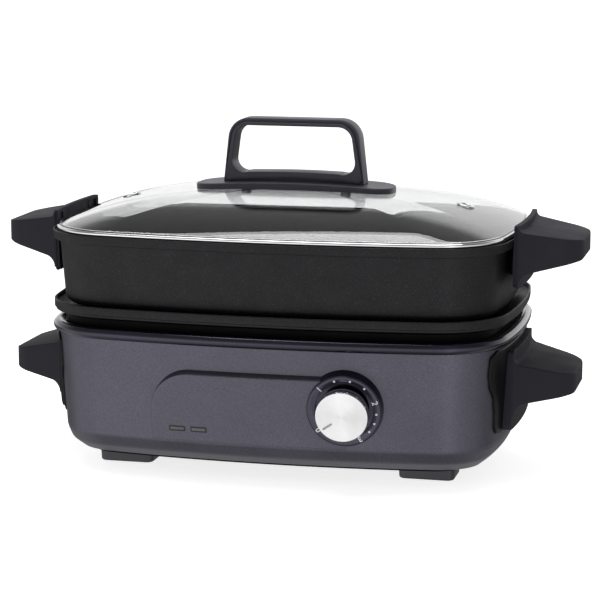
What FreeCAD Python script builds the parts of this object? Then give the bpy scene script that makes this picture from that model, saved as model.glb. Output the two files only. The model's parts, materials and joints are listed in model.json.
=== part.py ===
import FreeCAD, Part
import math
import os
from FreeCAD import Placement, Rotation
from FreeCAD import Vector as V

# Electric multi-cooker: a heated base, a ridged grill plate that drops into it, a deep
# two-handled pot that stands on the plate, and a domed glass lid.
# Millimetres, +Z up, front towards -Y.  The origin is on the table under the middle.

# ---- driving dimensions -------------------------------------------------------------

# Plan of the housing wall at its top edge.  Every ring of the object is this plan,
# moved out or in by an offset.
PLAN_X = 204.3          # half length at the middle of the bowed ends
PLAN_Y = 133.3          # half depth at the middle of the bowed front
PLAN_R = 61.0           # corner radius
BOW_R = 1100.0          # radius of the bowed front and back
END_R = 560.0           # radius of the bowed ends

# Heights, from the table up.
FOOT_Z = 2.5            # underside of the moulded feet
COVER_Z = 13.2          # underside of the bottom cover
BELLY_Z = 14.7          # lower end of the sloped skirt
CREASE_Z = 34.4         # where the skirt meets the wall
WALL_TOP = 121.8        # seam between housing and top rim
RIM_TOP = 131.8
LEDGE_Z = 126.5         # shelf that carries the grill plate
TRAY_Z = 111.0          # underside of the heat tray
PLATE_UNDER = 138.2
PLATE_RIM_Z = 140.7
PLATE_FLOOR = 143.2
RIDGE_TOP = 146.6
PLATE_TOP = 150.4
POT_BOTTOM = 146.8
POT_FLANGE_Z = 204.5
POT_TOP = 212.4
LID_Z = 212.7
GLASS_EDGE_TOP = 217.0
DOME_RISE = 27.6
LOOP_TOP = 306.6

# Offsets from the plan.
BELLY_IN = -27.0
CREASE_IN = -5.3
BEAD_OUT = 5.6
COLLAR_OUT = -6.0
PLATE_OUT = 4.4
POT_OUT = 4.6
LID_OUT = 1.3

SHEET = 1.8             # housing wall
STEEL = 1.5             # heat tray sheet
CAST = 2.8              # pot wall
GLASS = 3.6
FIT = 0.3               # gap between parts that lift apart

# Control panel: a pad that grows out of the wall towards its top edge.
PANEL_LEFT = -99.0
PANEL_TOP = 100.1       # where its top ledge leaves the wall
PANEL_R = 36.0
PANEL_OUT = 7.0         # how far the pad stands out at its top edge
PANEL_DROP = 0.45       # slope of that ledge
DIAL_X = 74.3
DIAL_Z = 71.2
DIAL_Y = -133.4         # face of the dial ring
DIAL_R = 32.2
RING_R = 31.4
WELL_R = 25.0
KNOB_R = 22.2
KNOB_H = 14.0
SHAFT_R = 3.0
SHAFT_FIT = 0.05
LAMP_X = (-75.2, -55.6)
LAMP_Z = 46.9
LAMP_L = 14.6
LAMP_H = 4.4

# Side handles: width across, and the grip's taper.
HANDLE_HALF = 57.0
GRIP_ROOT = 57.0
GRIP_TIP = 40.0
GRIP_TIP_R = 17.0
BASE_TIP_X = 258.8
POT_TIP_X = 263.3

# Lid handle.
STRAP_HALF_X = 90.5
STRAP_HALF_Y = 25.0
STRAP_TOP = 250.6
STRAP_ARC_R = 1150.0
LOOP_HALF_Y = 11.5
LOOP_FOOT_X = 64.3
LOOP_HEAD_X = 58.0
LOOP_BAR = 6.6
LOOP_CORNER = 19.0
LID_SCREW_X = 46.0
VENT_X = 154.6
VENT_R = 4.2
VENT_FLANGE_R = 8.4

FOOT_X = 136.5
FOOT_Y = 66.0
FOOT_L = 50.0
FOOT_W = 38.0
PAD_R = 7.5

GLAND_X = -70.0
GLAND_Z = 44.0
GLAND_BORE = 3.9
GLAND_NOSE = 16.0

os.makedirs("parts", exist_ok=True)


# ---- helpers ------------------------------------------------------------------------

def plan_wire(half_x, half_y, corner_r, bow_r, end_r, z):
    """Closed plan curve: bowed ends, bowed front and back, tangent corner arcs."""
    bow_mid = V(0, half_y - bow_r)
    end_mid = V(half_x - end_r, 0)
    reach_bow = bow_r - corner_r
    reach_end = end_r - corner_r
    between = end_mid - bow_mid
    along = (reach_bow ** 2 - reach_end ** 2 + between.Length ** 2) / (2 * between.Length)
    aside = math.sqrt(reach_bow ** 2 - along ** 2)
    ahead = V(between).normalize()
    corner = bow_mid + ahead * along + V(ahead.y, -ahead.x) * aside
    meet = corner + (corner - bow_mid).normalize() * corner_r
    end = corner + (corner - end_mid).normalize() * corner_r
    bulge = corner + ((meet - corner) + (end - corner)).normalize() * corner_r

    def at(point, sx, sy):
        return V(sx * point.x, sy * point.y, z)

    tip = V(half_x, 0)
    nose = V(0, half_y)
    edges = [
        Part.Arc(at(end, 1, 1), at(bulge, 1, 1), at(meet, 1, 1)),
        Part.Arc(at(meet, 1, 1), at(nose, 1, 1), at(meet, -1, 1)),
        Part.Arc(at(meet, -1, 1), at(bulge, -1, 1), at(end, -1, 1)),
        Part.Arc(at(end, -1, 1), at(tip, -1, 1), at(end, -1, -1)),
        Part.Arc(at(end, -1, -1), at(bulge, -1, -1), at(meet, -1, -1)),
        Part.Arc(at(meet, -1, -1), at(nose, -1, -1), at(meet, 1, -1)),
        Part.Arc(at(meet, 1, -1), at(bulge, 1, -1), at(end, 1, -1)),
        Part.Arc(at(end, 1, -1), at(tip, 1, -1), at(end, 1, 1)),
    ]
    return Part.Wire([edge.toShape() for edge in edges])


def ring_wire(offset, z):
    return plan_wire(PLAN_X + offset, PLAN_Y + offset, PLAN_R + offset, BOW_R + offset,
                     END_R + offset, z)


def stack(levels):
    """Solid through plan outlines, given bottom to top as (offset, z)."""
    return Part.makeLoft([ring_wire(offset, z) for offset, z in levels], True, True)


def ring(outer, inner, low, high):
    return stack([(outer, low), (outer, high)]).cut(stack([(inner, low - 1), (inner, high + 1)]))


def box(low, high):
    return Part.makeBox(high[0] - low[0], high[1] - low[1], high[2] - low[2], V(*low))


def rod(radius, start, end):
    start = V(*start)
    axis = V(*end) - start
    return Part.makeCylinder(radius, axis.Length, start, axis)


def fuse(shapes):
    return shapes[0].multiFuse(shapes[1:]).removeSplitter()


def mirror_x(shape):
    return shape.mirror(V(0, 0, 0), V(1, 0, 0))


def rounded_wire(points, radii):
    """Closed wire through the points, each corner rounded by its own radius (0: sharp)."""
    edges = []
    count = len(points)
    last = None
    first = None
    for index in range(count):
        corner = V(*points[index])
        before = (V(*points[index - 1]) - corner).normalize()
        after = (V(*points[(index + 1) % count]) - corner).normalize()
        radius = radii[index]
        half = before.getAngle(after) / 2
        cut = radius / math.tan(half) if radius else 0
        enter = corner + before * cut
        leave = corner + after * cut
        if last is None:
            first = enter
        elif (enter - last).Length > 1e-6:
            edges.append(Part.LineSegment(last, enter).toShape())
        if radius:
            centre = corner + (before + after).normalize() * (radius / math.sin(half))
            middle = centre + (corner - centre).normalize() * radius
            edges.append(Part.Arc(enter, middle, leave).toShape())
        last = leave
    edges.append(Part.LineSegment(last, first).toShape())
    return Part.Wire(edges)


def slab(points, radii, push):
    """Solid from a rounded outline pushed along a vector."""
    return Part.Face(rounded_wire(points, radii)).extrude(V(*push))


def bent_rod(radius, points, bend):
    """Round bar along straight runs joined by tangent arcs."""
    edges = []
    last = V(*points[0])
    for index in range(1, len(points) - 1):
        corner = V(*points[index])
        before = (V(*points[index - 1]) - corner).normalize()
        after = (V(*points[index + 1]) - corner).normalize()
        half = before.getAngle(after) / 2
        cut = bend / math.tan(half)
        enter = corner + before * cut
        leave = corner + after * cut
        centre = corner + (before + after).normalize() * (bend / math.sin(half))
        middle = centre + (corner - centre).normalize() * bend
        edges.append(Part.LineSegment(last, enter).toShape())
        edges.append(Part.Arc(enter, middle, leave).toShape())
        last = leave
    edges.append(Part.LineSegment(last, V(*points[-1])).toShape())
    path = Part.Wire(edges)
    start_direction = V(*points[1]) - V(*points[0])
    circle = Part.Wire([Part.Circle(V(*points[0]), start_direction, radius).toShape()])
    return path.makePipeShell([circle], True, False)


def save(node, shape):
    if not shape.isValid():
        raise ValueError(node + " is not valid")
    shape.exportStep("parts/" + node + ".step")


# ---- housing ------------------------------------------------------------------------

def wall_y(x, z):
    """Front face of the housing wall at a place."""
    lean = (WALL_TOP - z) * -CREASE_IN / (WALL_TOP - CREASE_Z)
    return -(PLAN_Y - lean) + x * x / (2 * BOW_R)


PANEL_SLOPE = PANEL_OUT / (PANEL_TOP - CREASE_Z)
FACE_LEAN = PANEL_SLOPE - CREASE_IN / (WALL_TOP - CREASE_Z)
DIAL_AXIS = V(DIAL_X / BOW_R, -1, -FACE_LEAN).normalize()
DIAL_CENTRE = V(DIAL_X, DIAL_Y, DIAL_Z)
DIAL_FRAME = Placement(DIAL_CENTRE, Rotation(V(1, 0, 0), V(0, 0, 1), DIAL_AXIS, "ZXY"))


def on_dial(shape):
    """Place a shape built about +Z, with its face at z = 0, onto the dial."""
    placed = shape.copy()
    placed.Placement = DIAL_FRAME
    return placed


def housing_outside():
    return stack([(BELLY_IN, BELLY_Z), (CREASE_IN, CREASE_Z), (0, WALL_TOP)])


def housing_inside():
    slope = (CREASE_IN - BELLY_IN) / (CREASE_Z - BELLY_Z)
    low = BELLY_Z - 1
    return stack([
        (BELLY_IN - SHEET * 1.5 - slope, low),
        (CREASE_IN - SHEET, CREASE_Z + SHEET / 2),
        (-SHEET, WALL_TOP + 1),
    ])


def panel_pad():
    """The raised control panel, flush with the wall at the bottom, proud at its top."""
    rise = WALL_TOP - CREASE_Z
    wedge = stack([(CREASE_IN, CREASE_Z), (PANEL_SLOPE * rise, WALL_TOP)])
    back_y = -PLAN_Y + 14
    top = PANEL_TOP + 14 * PANEL_DROP
    field = slab(
        [(PANEL_LEFT, back_y, CREASE_Z), (PANEL_LEFT, back_y, top),
         (DIAL_X, back_y, top), (DIAL_X, back_y, CREASE_Z)],
        [0, PANEL_R, 0, 0],
        (0, -30, -30 * PANEL_DROP),
    )
    boss = rod(DIAL_R + 1, (DIAL_X, back_y, DIAL_Z + 3), (DIAL_X, back_y - 30, DIAL_Z - 3))
    return wedge.common(field.fuse(boss))


def lamp_window(x, margin, depth_from, depth_to):
    face = wall_y(x, LAMP_Z) - PANEL_SLOPE * (LAMP_Z - CREASE_Z)
    half_l = LAMP_L / 2 + margin
    half_h = LAMP_H / 2 + margin
    corner = max(0.5, 0.8 + margin)
    outline = [(x - half_l, face + depth_from, LAMP_Z - half_h),
               (x + half_l, face + depth_from, LAMP_Z - half_h),
               (x + half_l, face + depth_from, LAMP_Z + half_h),
               (x - half_l, face + depth_from, LAMP_Z + half_h)]
    return slab(outline, [corner] * 4, (0, depth_to - depth_from, 0))


def base_handle_screw_places():
    return [(sx, sy * 30, 84) for sx in (-1, 1) for sy in (-1, 1)]


def base_shell():
    boss = on_dial(Part.makeCylinder(DIAL_R, 14, V(0, 0, -14)))
    solid = fuse([housing_outside(), panel_pad(), boss])
    dial_back = on_dial(Part.makeCylinder(WELL_R - 3, 30, V(0, 0, -30 - 6)))
    inside = housing_inside().cut(on_dial(Part.makeCylinder(DIAL_R - 2, 3, V(0, 0, -9))))
    solid = solid.cut(inside)
    solid = solid.cut(dial_back.common(housing_inside()))
    solid = solid.cut(on_dial(Part.makeCylinder(RING_R, 3, V(0, 0, -1.6))))
    solid = solid.cut(on_dial(Part.makeCylinder(WELL_R, 6, V(0, 0, -5))))
    solid = solid.cut(on_dial(Part.makeCylinder(SHAFT_R + 2.5, 40, V(0, 0, -30))))
    for x in LAMP_X:
        solid = solid.cut(lamp_window(x, 0, -4, 12))
    for side, y, z in base_handle_screw_places():
        solid = solid.cut(rod(2.1, (side * (PLAN_X - 12), y, z), (side * (PLAN_X + 3), y, z)))
    solid = solid.cut(rod(8, (GLAND_X, PLAN_Y - 20, GLAND_Z), (GLAND_X, PLAN_Y + 3, GLAND_Z)))
    return solid


def top_rim():
    """Rolled rim: a half-round bead outside, a flat top, and a skirt inside the wall."""
    bead_mid = (WALL_TOP + RIM_TOP) / 2
    half = (RIM_TOP - WALL_TOP) / 2
    levels = [(0, WALL_TOP)]
    for step in range(1, 8):
        angle = math.radians(-90 + step * 22.5)
        levels.append((BEAD_OUT - 4.4 + 4.4 * math.cos(angle), bead_mid + half * math.sin(angle)))
    levels.append((0, RIM_TOP))
    bead = stack(levels)
    skirt = stack([(-SHEET - 0.7, WALL_TOP - 9), (-SHEET - 0.1, WALL_TOP)])
    return bead.fuse(skirt).cut(stack([(COLLAR_OUT, TRAY_Z), (COLLAR_OUT, RIM_TOP + 1)])).removeSplitter()


def heat_tray():
    """Black steel tray that hangs in the rim, with the shelf that carries the plate."""
    tray = stack([(COLLAR_OUT, TRAY_Z), (COLLAR_OUT, RIM_TOP - 1)])
    inner = COLLAR_OUT - STEEL
    tray = tray.cut(stack([(inner, TRAY_Z + STEEL), (inner, RIM_TOP)]))
    shelf = ring(inner, inner - 6, LEDGE_Z - STEEL, LEDGE_Z)
    tray = tray.fuse(shelf)
    for y in (-ELEMENT_GAP, ELEMENT_GAP):
        tray = tray.cut(rod(ELEMENT_R + 1, (ELEMENT_X, y, TRAY_Z - 2), (ELEMENT_X, y, TRAY_Z + 4)))
    return tray.removeSplitter()


def bottom_cover():
    sheet = stack([(BELLY_IN - 2, COVER_Z), (BELLY_IN - 2, BELLY_Z)])
    slots = [
        slab([(x - 2, -28, COVER_Z - 1), (x + 2, -28, COVER_Z - 1),
              (x + 2, 28, COVER_Z - 1), (x - 2, 28, COVER_Z - 1)], [1.9] * 4, (0, 0, 5))
        for x in range(-60, 61, 12)
    ]
    for slot in slots:
        sheet = sheet.cut(slot)
    for x, y in cover_screw_places():
        sheet = sheet.cut(rod(2.1, (x, y, COVER_Z - 1), (x, y, BELLY_Z + 1)))
    return sheet


def cover_screw_places():
    return [(sx * 92, sy * 78) for sx in (-1, 1) for sy in (-1, 1)]


def cover_screws():
    screws = []
    for x, y in cover_screw_places():
        head = rod(4, (x, y, COVER_Z - 1.8), (x, y, COVER_Z))
        shank = rod(2, (x, y, COVER_Z), (x, y, BELLY_Z + 14))
        cross = fuse([box((x - 2.2, y - 0.5, COVER_Z - 2), (x + 2.2, y + 0.5, COVER_Z - 1)),
                      box((x - 0.5, y - 2.2, COVER_Z - 2), (x + 0.5, y + 2.2, COVER_Z - 1))])
        screws.append(head.fuse(shank).cut(cross).removeSplitter())
    return Part.makeCompound(screws)


def cover_posts():
    """Threaded posts that the cover screws go into, welded to the tray above."""
    posts = []
    for x, y in cover_screw_places():
        post = rod(4.5, (x, y, BELLY_Z), (x, y, TRAY_Z))
        posts.append(post.cut(rod(2, (x, y, BELLY_Z - 1), (x, y, BELLY_Z + 14))))
    return Part.makeCompound(posts)


def foot(side, end):
    """Moulded foot, rounded at the corners and drawn in towards the table."""
    def outline(inset, z):
        half_l = FOOT_L / 2 - inset
        half_w = FOOT_W / 2 - inset
        centre = (side * FOOT_X, end * FOOT_Y)
        corners = [(centre[0] + sx * half_l, centre[1] + sy * half_w, z)
                   for sx, sy in ((-1, -1), (1, -1), (1, 1), (-1, 1))]
        return rounded_wire(corners, [9 - inset] * 4)

    block = Part.makeLoft([outline(2.2, FOOT_Z), outline(1.0, FOOT_Z + 0.8),
                           outline(0, COVER_Z)], True, True)
    return block.cut(rod(PAD_R, pad_place(side, end, FOOT_Z - 1), pad_place(side, end, FOOT_Z + 2)))


def pad_place(side, end, z):
    return (side * FOOT_X, end * FOOT_Y, z)


def foot_pads():
    pads = []
    for side in (-1, 1):
        for end in (-1, 1):
            disc = rod(PAD_R, pad_place(side, end, 0), pad_place(side, end, FOOT_Z + 2))
            rim_edges = [edge for edge in disc.Edges if edge.BoundBox.ZMax < 0.01]
            pads.append(disc.makeChamfer(0.6, rim_edges))
    return Part.makeCompound(pads)


# ---- side handles -------------------------------------------------------------------

def grip(profile, profile_radii, root_x, tip_x):
    """Tapered grip: its side profile, trimmed by its plan."""
    body = slab([(x, -60, z) for x, z in profile], profile_radii, (0, 120, 0))
    low = min(z for _, z in profile) - 1
    high = max(z for _, z in profile) + 1
    plan = slab(
        [(root_x, -GRIP_ROOT, low), (tip_x, -GRIP_TIP, low),
         (tip_x, GRIP_TIP, low), (root_x, GRIP_ROOT, low)],
        [0, GRIP_TIP_R, GRIP_TIP_R, 0], (0, 0, high - low))
    return body.common(plan)


def handle_plate(inner, outer):
    """Flange that follows the bowed end, between two faces given as (offset, z) levels."""
    low = outer[0][1]
    high = outer[-1][1]
    corners = [(0, -HANDLE_HALF, low), (0, HANDLE_HALF, low),
               (0, HANDLE_HALF, high), (0, -HANDLE_HALF, high)]
    field = slab(corners, [7, 7, 4, 4], (300, 0, 0))
    return field.common(stack(outer)).cut(stack(inner))


BASE_PLATE_X = PLAN_X + 2.0    # at its top; it leans with the wall
BASE_HANDLE_LOW = 43.0
BASE_HANDLE_HIGH = 114.8
POT_PLATE_X = PLAN_X + POT_OUT + 0.2
POT_HANDLE_LOW = 168.5
POT_HANDLE_HIGH = 224.0
HANDLE_SHEET = 4.4
HANDLE_BOW = 2.9        # how far a flange has curved back at its two ends


def lean_in(z):
    """How far the housing's wall has drawn in at a height."""
    return (WALL_TOP - z) * -CREASE_IN / (WALL_TOP - CREASE_Z)


def base_handle():
    inner = BASE_PLATE_X - PLAN_X
    outer = inner + HANDLE_SHEET
    low = BASE_HANDLE_LOW
    high = BASE_HANDLE_HIGH
    plate = handle_plate([(inner - lean_in(low), low), (inner - lean_in(high), high)],
                         [(outer - 2, low), (outer, 66), (outer, high)])
    root = BASE_PLATE_X + HANDLE_SHEET - HANDLE_BOW
    profile = [(root - 4, 62), (root + 1, 62), (root + 13, 68), (BASE_TIP_X - 1, 74.5),
               (BASE_TIP_X, 88.5), (root + 5, 98.5), (root, 109), (root - 4, 109)]
    radii = [0, 0, 9, 2.5, 2.5, 5, 0, 0]
    solid = fuse([plate, grip(profile, radii, root - 4, BASE_TIP_X), web(root - 1, 50, 66)])
    solid = solid.cut(stack([(inner - lean_in(low), low), (inner - lean_in(high), high)]))
    for side, y, z in base_handle_screw_places():
        if side > 0:
            solid = solid.cut(rod(2.1, (BASE_PLATE_X - 5, y, z), (BASE_PLATE_X + 12, y, z)))
    return solid


def web(root_x, low, high):
    """Concave brace under the grip."""
    reach = 15
    profile = [(root_x, low), (root_x + 1.5, low), (root_x + 3.5, high - 8),
               (root_x + reach, high + 3), (root_x, high + 3)]
    return slab([(x, -GRIP_ROOT + 5, z) for x, z in profile], [0, 0, 11, 0, 0],
                (0, 2 * GRIP_ROOT - 10, 0))


def base_handle_pad():
    """Heat-resistant pad between handle and wall, wrapped round the housing's corners."""
    low = BASE_HANDLE_LOW - 2
    high = BASE_HANDLE_HIGH + 5
    proud = BASE_PLATE_X - PLAN_X
    skin = stack([(proud - lean_in(low), low), (proud - lean_in(high), high)])
    side = slab([(0, -84, low), (0, 84, low), (0, 84, high - 14), (0, 70, high),
                 (0, -70, high), (0, -84, high - 14)], [14, 14, 5, 5, 5, 5], (300, 0, 0))
    solid = skin.common(side).cut(housing_outside())
    for sx, y, z in base_handle_screw_places():
        if sx > 0:
            solid = solid.cut(rod(2.1, (PLAN_X - 12, y, z), (PLAN_X + 6, y, z)))
    return solid


def base_handle_screws():
    """Screws from inside the housing, through wall and pad, into the handles."""
    screws = []
    for side, y, z in base_handle_screw_places():
        seat = PLAN_X - SHEET - 3.8
        head = rod(4, (side * (seat - 2.6), y, z), (side * seat, y, z))
        shank = rod(2, (side * seat, y, z), (side * (BASE_PLATE_X + 11), y, z))
        screws.append(head.fuse(shank).removeSplitter())
    return Part.makeCompound(screws)


def pot_handle_screw_places():
    return [(sx, sy * 16, 186) for sx in (-1, 1) for sy in (-1, 1)]


def pot_handle():
    inner = POT_PLATE_X - PLAN_X
    outer = inner + HANDLE_SHEET
    levels = (POT_HANDLE_LOW, POT_HANDLE_HIGH)
    plate = handle_plate([(inner, z) for z in levels], [(outer, z) for z in levels])
    root = POT_PLATE_X + HANDLE_SHEET - HANDLE_BOW
    profile = [(root - 4, 178), (root + 1, 178), (root + 14, 183.5), (POT_TIP_X - 1, 192.5),
               (POT_TIP_X, 210), (root + 5, 217.5), (root, 221), (root - 4, 221)]
    radii = [0, 0, 8, 2.5, 2.5, 4, 0, 0]
    solid = fuse([plate, grip(profile, radii, root - 4, POT_TIP_X), web(root - 1, 170, 181)])
    solid = solid.cut(stack([(inner, z) for z in levels]))
    # ribbed pockets on the inner face, above the pot's rim
    for index in range(6):
        y = -45 + index * 18
        floor = POT_PLATE_X + 2.4 - y * y / (2 * END_R)
        solid = solid.cut(box((floor - 8, y - 7, POT_TOP + 2), (floor, y + 7, POT_HANDLE_HIGH - 2)))
    for side, y, z in pot_handle_screw_places():
        if side > 0:
            solid = solid.cut(rod(2.1, (POT_PLATE_X - 1, y, z), (POT_PLATE_X + 30, y, z)))
            solid = solid.cut(rod(4.4, (POT_PLATE_X + 11, y, z), (POT_PLATE_X + 60, y, z)))
    return solid


def pot_handle_screws():
    screws = []
    for side, y, z in pot_handle_screw_places():
        seat = POT_PLATE_X + 11
        head = rod(3.9, (side * seat, y, z), (side * (seat + 2.4), y, z))
        shank = rod(2, (side * (POT_PLATE_X - 5), y, z), (side * seat, y, z))
        screws.append(head.fuse(shank).removeSplitter())
    return Part.makeCompound(screws)


# ---- inside the base ----------------------------------------------------------------

ELEMENT_R = 3.3
ELEMENT_X = 150.0
ELEMENT_Y = 82.0
ELEMENT_GAP = 16.0
ELEMENT_Z = PLATE_UNDER - FIT - ELEMENT_R
ELEMENT_BEND = 34.0


def heating_element():
    """Tubular loop under the plate, its two ends turned down through the tray."""
    loop = bent_rod(ELEMENT_R, [
        (ELEMENT_X, -ELEMENT_GAP, ELEMENT_Z), (ELEMENT_X, -ELEMENT_Y, ELEMENT_Z),
        (-ELEMENT_X, -ELEMENT_Y, ELEMENT_Z), (-ELEMENT_X, ELEMENT_Y, ELEMENT_Z),
        (ELEMENT_X, ELEMENT_Y, ELEMENT_Z), (ELEMENT_X, ELEMENT_GAP, ELEMENT_Z)], ELEMENT_BEND)
    parts = [loop]
    for y in (-ELEMENT_GAP, ELEMENT_GAP):
        parts.append(Part.makeSphere(ELEMENT_R, V(ELEMENT_X, y, ELEMENT_Z)))
        parts.append(rod(ELEMENT_R, (ELEMENT_X, y, ELEMENT_Z), (ELEMENT_X, y, TRAY_Z - 8)))
        parts.append(rod(1.6, (ELEMENT_X, y, TRAY_Z - 8), (ELEMENT_X, y, TRAY_Z - 20)))
    return fuse(parts)


def element_clips():
    """Pressed brackets that hold the element up against the plate."""
    clips = []
    floor = TRAY_Z + STEEL + 0.8
    for x in (-90, 0, 90):
        for side in (-1, 1):
            y = side * ELEMENT_Y
            post = box((x - 5, y - 5.5, floor), (x + 5, y + 5.5, ELEMENT_Z - 0.5))
            hollow = box((x - 6, y - 4.3, floor + 1.2), (x + 6, y + 4.3, ELEMENT_Z - 5))
            groove = rod(ELEMENT_R, (x - 6, y, ELEMENT_Z), (x + 6, y, ELEMENT_Z))
            clips.append(post.cut(hollow).cut(groove))
    return Part.makeCompound(clips)


def reflector():
    """Bright sheet on the tray floor that sends the heat up."""
    inner = COLLAR_OUT - STEEL - 10
    sheet = stack([(inner, TRAY_Z + STEEL), (inner, TRAY_Z + STEEL + 0.8)])
    for y in (-ELEMENT_GAP, ELEMENT_GAP):
        sheet = sheet.cut(rod(ELEMENT_R + 1, (ELEMENT_X, y, TRAY_Z), (ELEMENT_X, y, TRAY_Z + 4)))
    return sheet


THERMOSTAT_FRONT = -12.0
THERMOSTAT_BACK = -30.0


def thermostat():
    """Adjustable thermostat behind the dial, with its bush, spade terminals and bracket."""
    can = Part.makeCylinder(17, THERMOSTAT_FRONT - THERMOSTAT_BACK, V(0, 0, THERMOSTAT_BACK))
    bush = Part.makeCylinder(5.2, -5 - THERMOSTAT_FRONT, V(0, 0, THERMOSTAT_FRONT))
    strap = Part.makeBox(46, 14, 1.4, V(-23, -7, THERMOSTAT_FRONT))
    blades = [Part.makeBox(6.3, 0.8, 9, V(x - 3.15, -0.4, THERMOSTAT_BACK - 9)) for x in (-9, 0, 9)]
    shape = fuse([can, bush, strap] + blades)
    bore = Part.makeCylinder(SHAFT_R + SHAFT_FIT, 30, V(0, 0, THERMOSTAT_BACK + 4))
    return on_dial(shape.cut(bore))


def thermal_fuse():
    """Fuse in its sleeve, clipped under the tray."""
    z = TRAY_Z - 4
    body = rod(3.6, (20, 40, z), (48, 40, z))
    leads = rod(0.8, (8, 40, z), (60, 40, z))
    clip = box((30, 35, z + 2.5), (38, 45, TRAY_Z))
    return fuse([body, leads, clip])


def terminal_block():
    """Three-way block on the cover, just inside the cable gland."""
    base = box((-92, 84, BELLY_Z), (-48, 100, BELLY_Z + 17))
    for index in range(3):
        x = -83 + index * 13
        base = base.cut(rod(3, (x, 92, BELLY_Z + 9), (x, 92, BELLY_Z + 20)))
        base = base.cut(rod(2.2, (x, 80, BELLY_Z + 6), (x, 104, BELLY_Z + 6)))
    return base


def terminal_screws():
    screws = []
    for index in range(3):
        x = -83 + index * 13
        body = rod(2.9, (x, 92, BELLY_Z + 9), (x, 92, BELLY_Z + 15))
        slot = box((x - 3.2, 91.6, BELLY_Z + 14), (x + 3.2, 92.4, BELLY_Z + 16))
        screws.append(body.cut(slot))
    return Part.makeCompound(screws)


def lamp_board():
    """Small board behind the two windows, with a neon lamp behind each lens."""
    middle = sum(LAMP_X) / 2
    front = wall_y(middle, LAMP_Z) + SHEET + 7
    board = box((middle - 24, front, LAMP_Z - 11), (middle + 24, front + 1.6, LAMP_Z + 11))
    lamps = [rod(2.4, (x, front - 4.2, LAMP_Z), (x, front, LAMP_Z)) for x in LAMP_X]
    posts = [rod(2.5, (middle + s * 20, front - 5.8, LAMP_Z + 7), (middle + s * 20, front, LAMP_Z + 7))
             for s in (-1, 1)]
    return fuse([board] + lamps + posts)


def wiring():
    """Insulated leads from the terminal block to the thermostat and the element."""
    z = BELLY_Z + 6
    routes = [
        [(-70, 80, z), (-70, 40, z), (40, 40, z + 20), (70, -20, z + 38), (72, -78, z + 50)],
        [(-57, 80, z), (-57, 58, z), (110, 58, z + 20), (150, 16, z + 40), (150, 16, TRAY_Z - 20)],
    ]
    return Part.makeCompound([bent_rod(1.6, route, 9) for route in routes])


def cable_gland():
    """Rear gland for the supply lead: flange outside, neck through the wall."""
    face = -wall_y(GLAND_X, GLAND_Z)
    flange = rod(11, (GLAND_X, face - 0.8, GLAND_Z), (GLAND_X, face + 3.2, GLAND_Z))
    neck = rod(8, (GLAND_X, face - 12, GLAND_Z), (GLAND_X, face, GLAND_Z))
    nose = Part.makeCone(8.5, 6.2, GLAND_NOSE, V(GLAND_X, face + 3.2, GLAND_Z), V(0, 1, 0))
    bore = rod(GLAND_BORE, (GLAND_X, face - 13, GLAND_Z), (GLAND_X, face + GLAND_NOSE + 5, GLAND_Z))
    solid = fuse([flange, neck, nose]).cut(bore)
    return solid.cut(base_wall_only())


def base_wall_only():
    """The bare wall round the gland's hole, which the gland must not enter."""
    wall = housing_outside().cut(housing_inside())
    return wall.cut(rod(8, (GLAND_X, PLAN_Y - 30, GLAND_Z), (GLAND_X, PLAN_Y + 3, GLAND_Z)))


# ---- dial and knob ------------------------------------------------------------------

def dial_ring():
    """Glossy scale ring, dished towards the knob."""
    ring_solid = Part.makeCylinder(RING_R, 2.0, V(0, 0, -1.6))
    dish = Part.makeCone(WELL_R - 0.1, WELL_R + 5, 1.2, V(0, 0, -0.8))
    hole = Part.makeCylinder(WELL_R, 4, V(0, 0, -2))
    return on_dial(ring_solid.cut(dish).cut(hole))


def lamp_lens(x):
    return lamp_window(x, -0.1, 0.6, 5).fuse(lamp_window(x, -1.2, 0.1, 0.6)).removeSplitter()


def knob_cap():
    """Turned cap with a shallow crown and an engraved pointer."""
    low = 3.4
    body = Part.makeCylinder(KNOB_R, KNOB_H - low, V(0, 0, low))
    top_edge = [edge for edge in body.Edges if edge.BoundBox.ZMin > KNOB_H - 0.01]
    body = body.makeFillet(1.2, top_edge)
    pointer = Part.makeBox(9, 1.5, 0.8, V(-KNOB_R + 1.6, -0.75, KNOB_H - 0.6))
    pointer.rotate(V(0, 0, 0), V(0, 0, 1), POINTER_ANGLE)
    socket = Part.makeCylinder(SHAFT_R, 8, V(0, 0, low - 1))
    return on_dial(body.cut(pointer).cut(socket))


POINTER_ANGLE = 35.0    # the pointer rests at the lower left, on "off"


def knob_skirt():
    """Polished collar under the cap."""
    collar = Part.makeCone(KNOB_R - 1.6, KNOB_R - 0.4, 4.4, V(0, 0, -1.0))
    return on_dial(collar.cut(Part.makeCylinder(SHAFT_R, 8, V(0, 0, -2))))


def knob_shaft():
    """Shaft with a flat, from the thermostat into the knob."""
    shaft = Part.makeCylinder(SHAFT_R, 8 - THERMOSTAT_BACK - 5, V(0, 0, THERMOSTAT_BACK + 5))
    flat = Part.makeBox(8, 3, 7, V(-4, SHAFT_R - 0.7, 1.4))
    return on_dial(shaft.cut(flat))


# ---- grill plate --------------------------------------------------------------------

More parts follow.
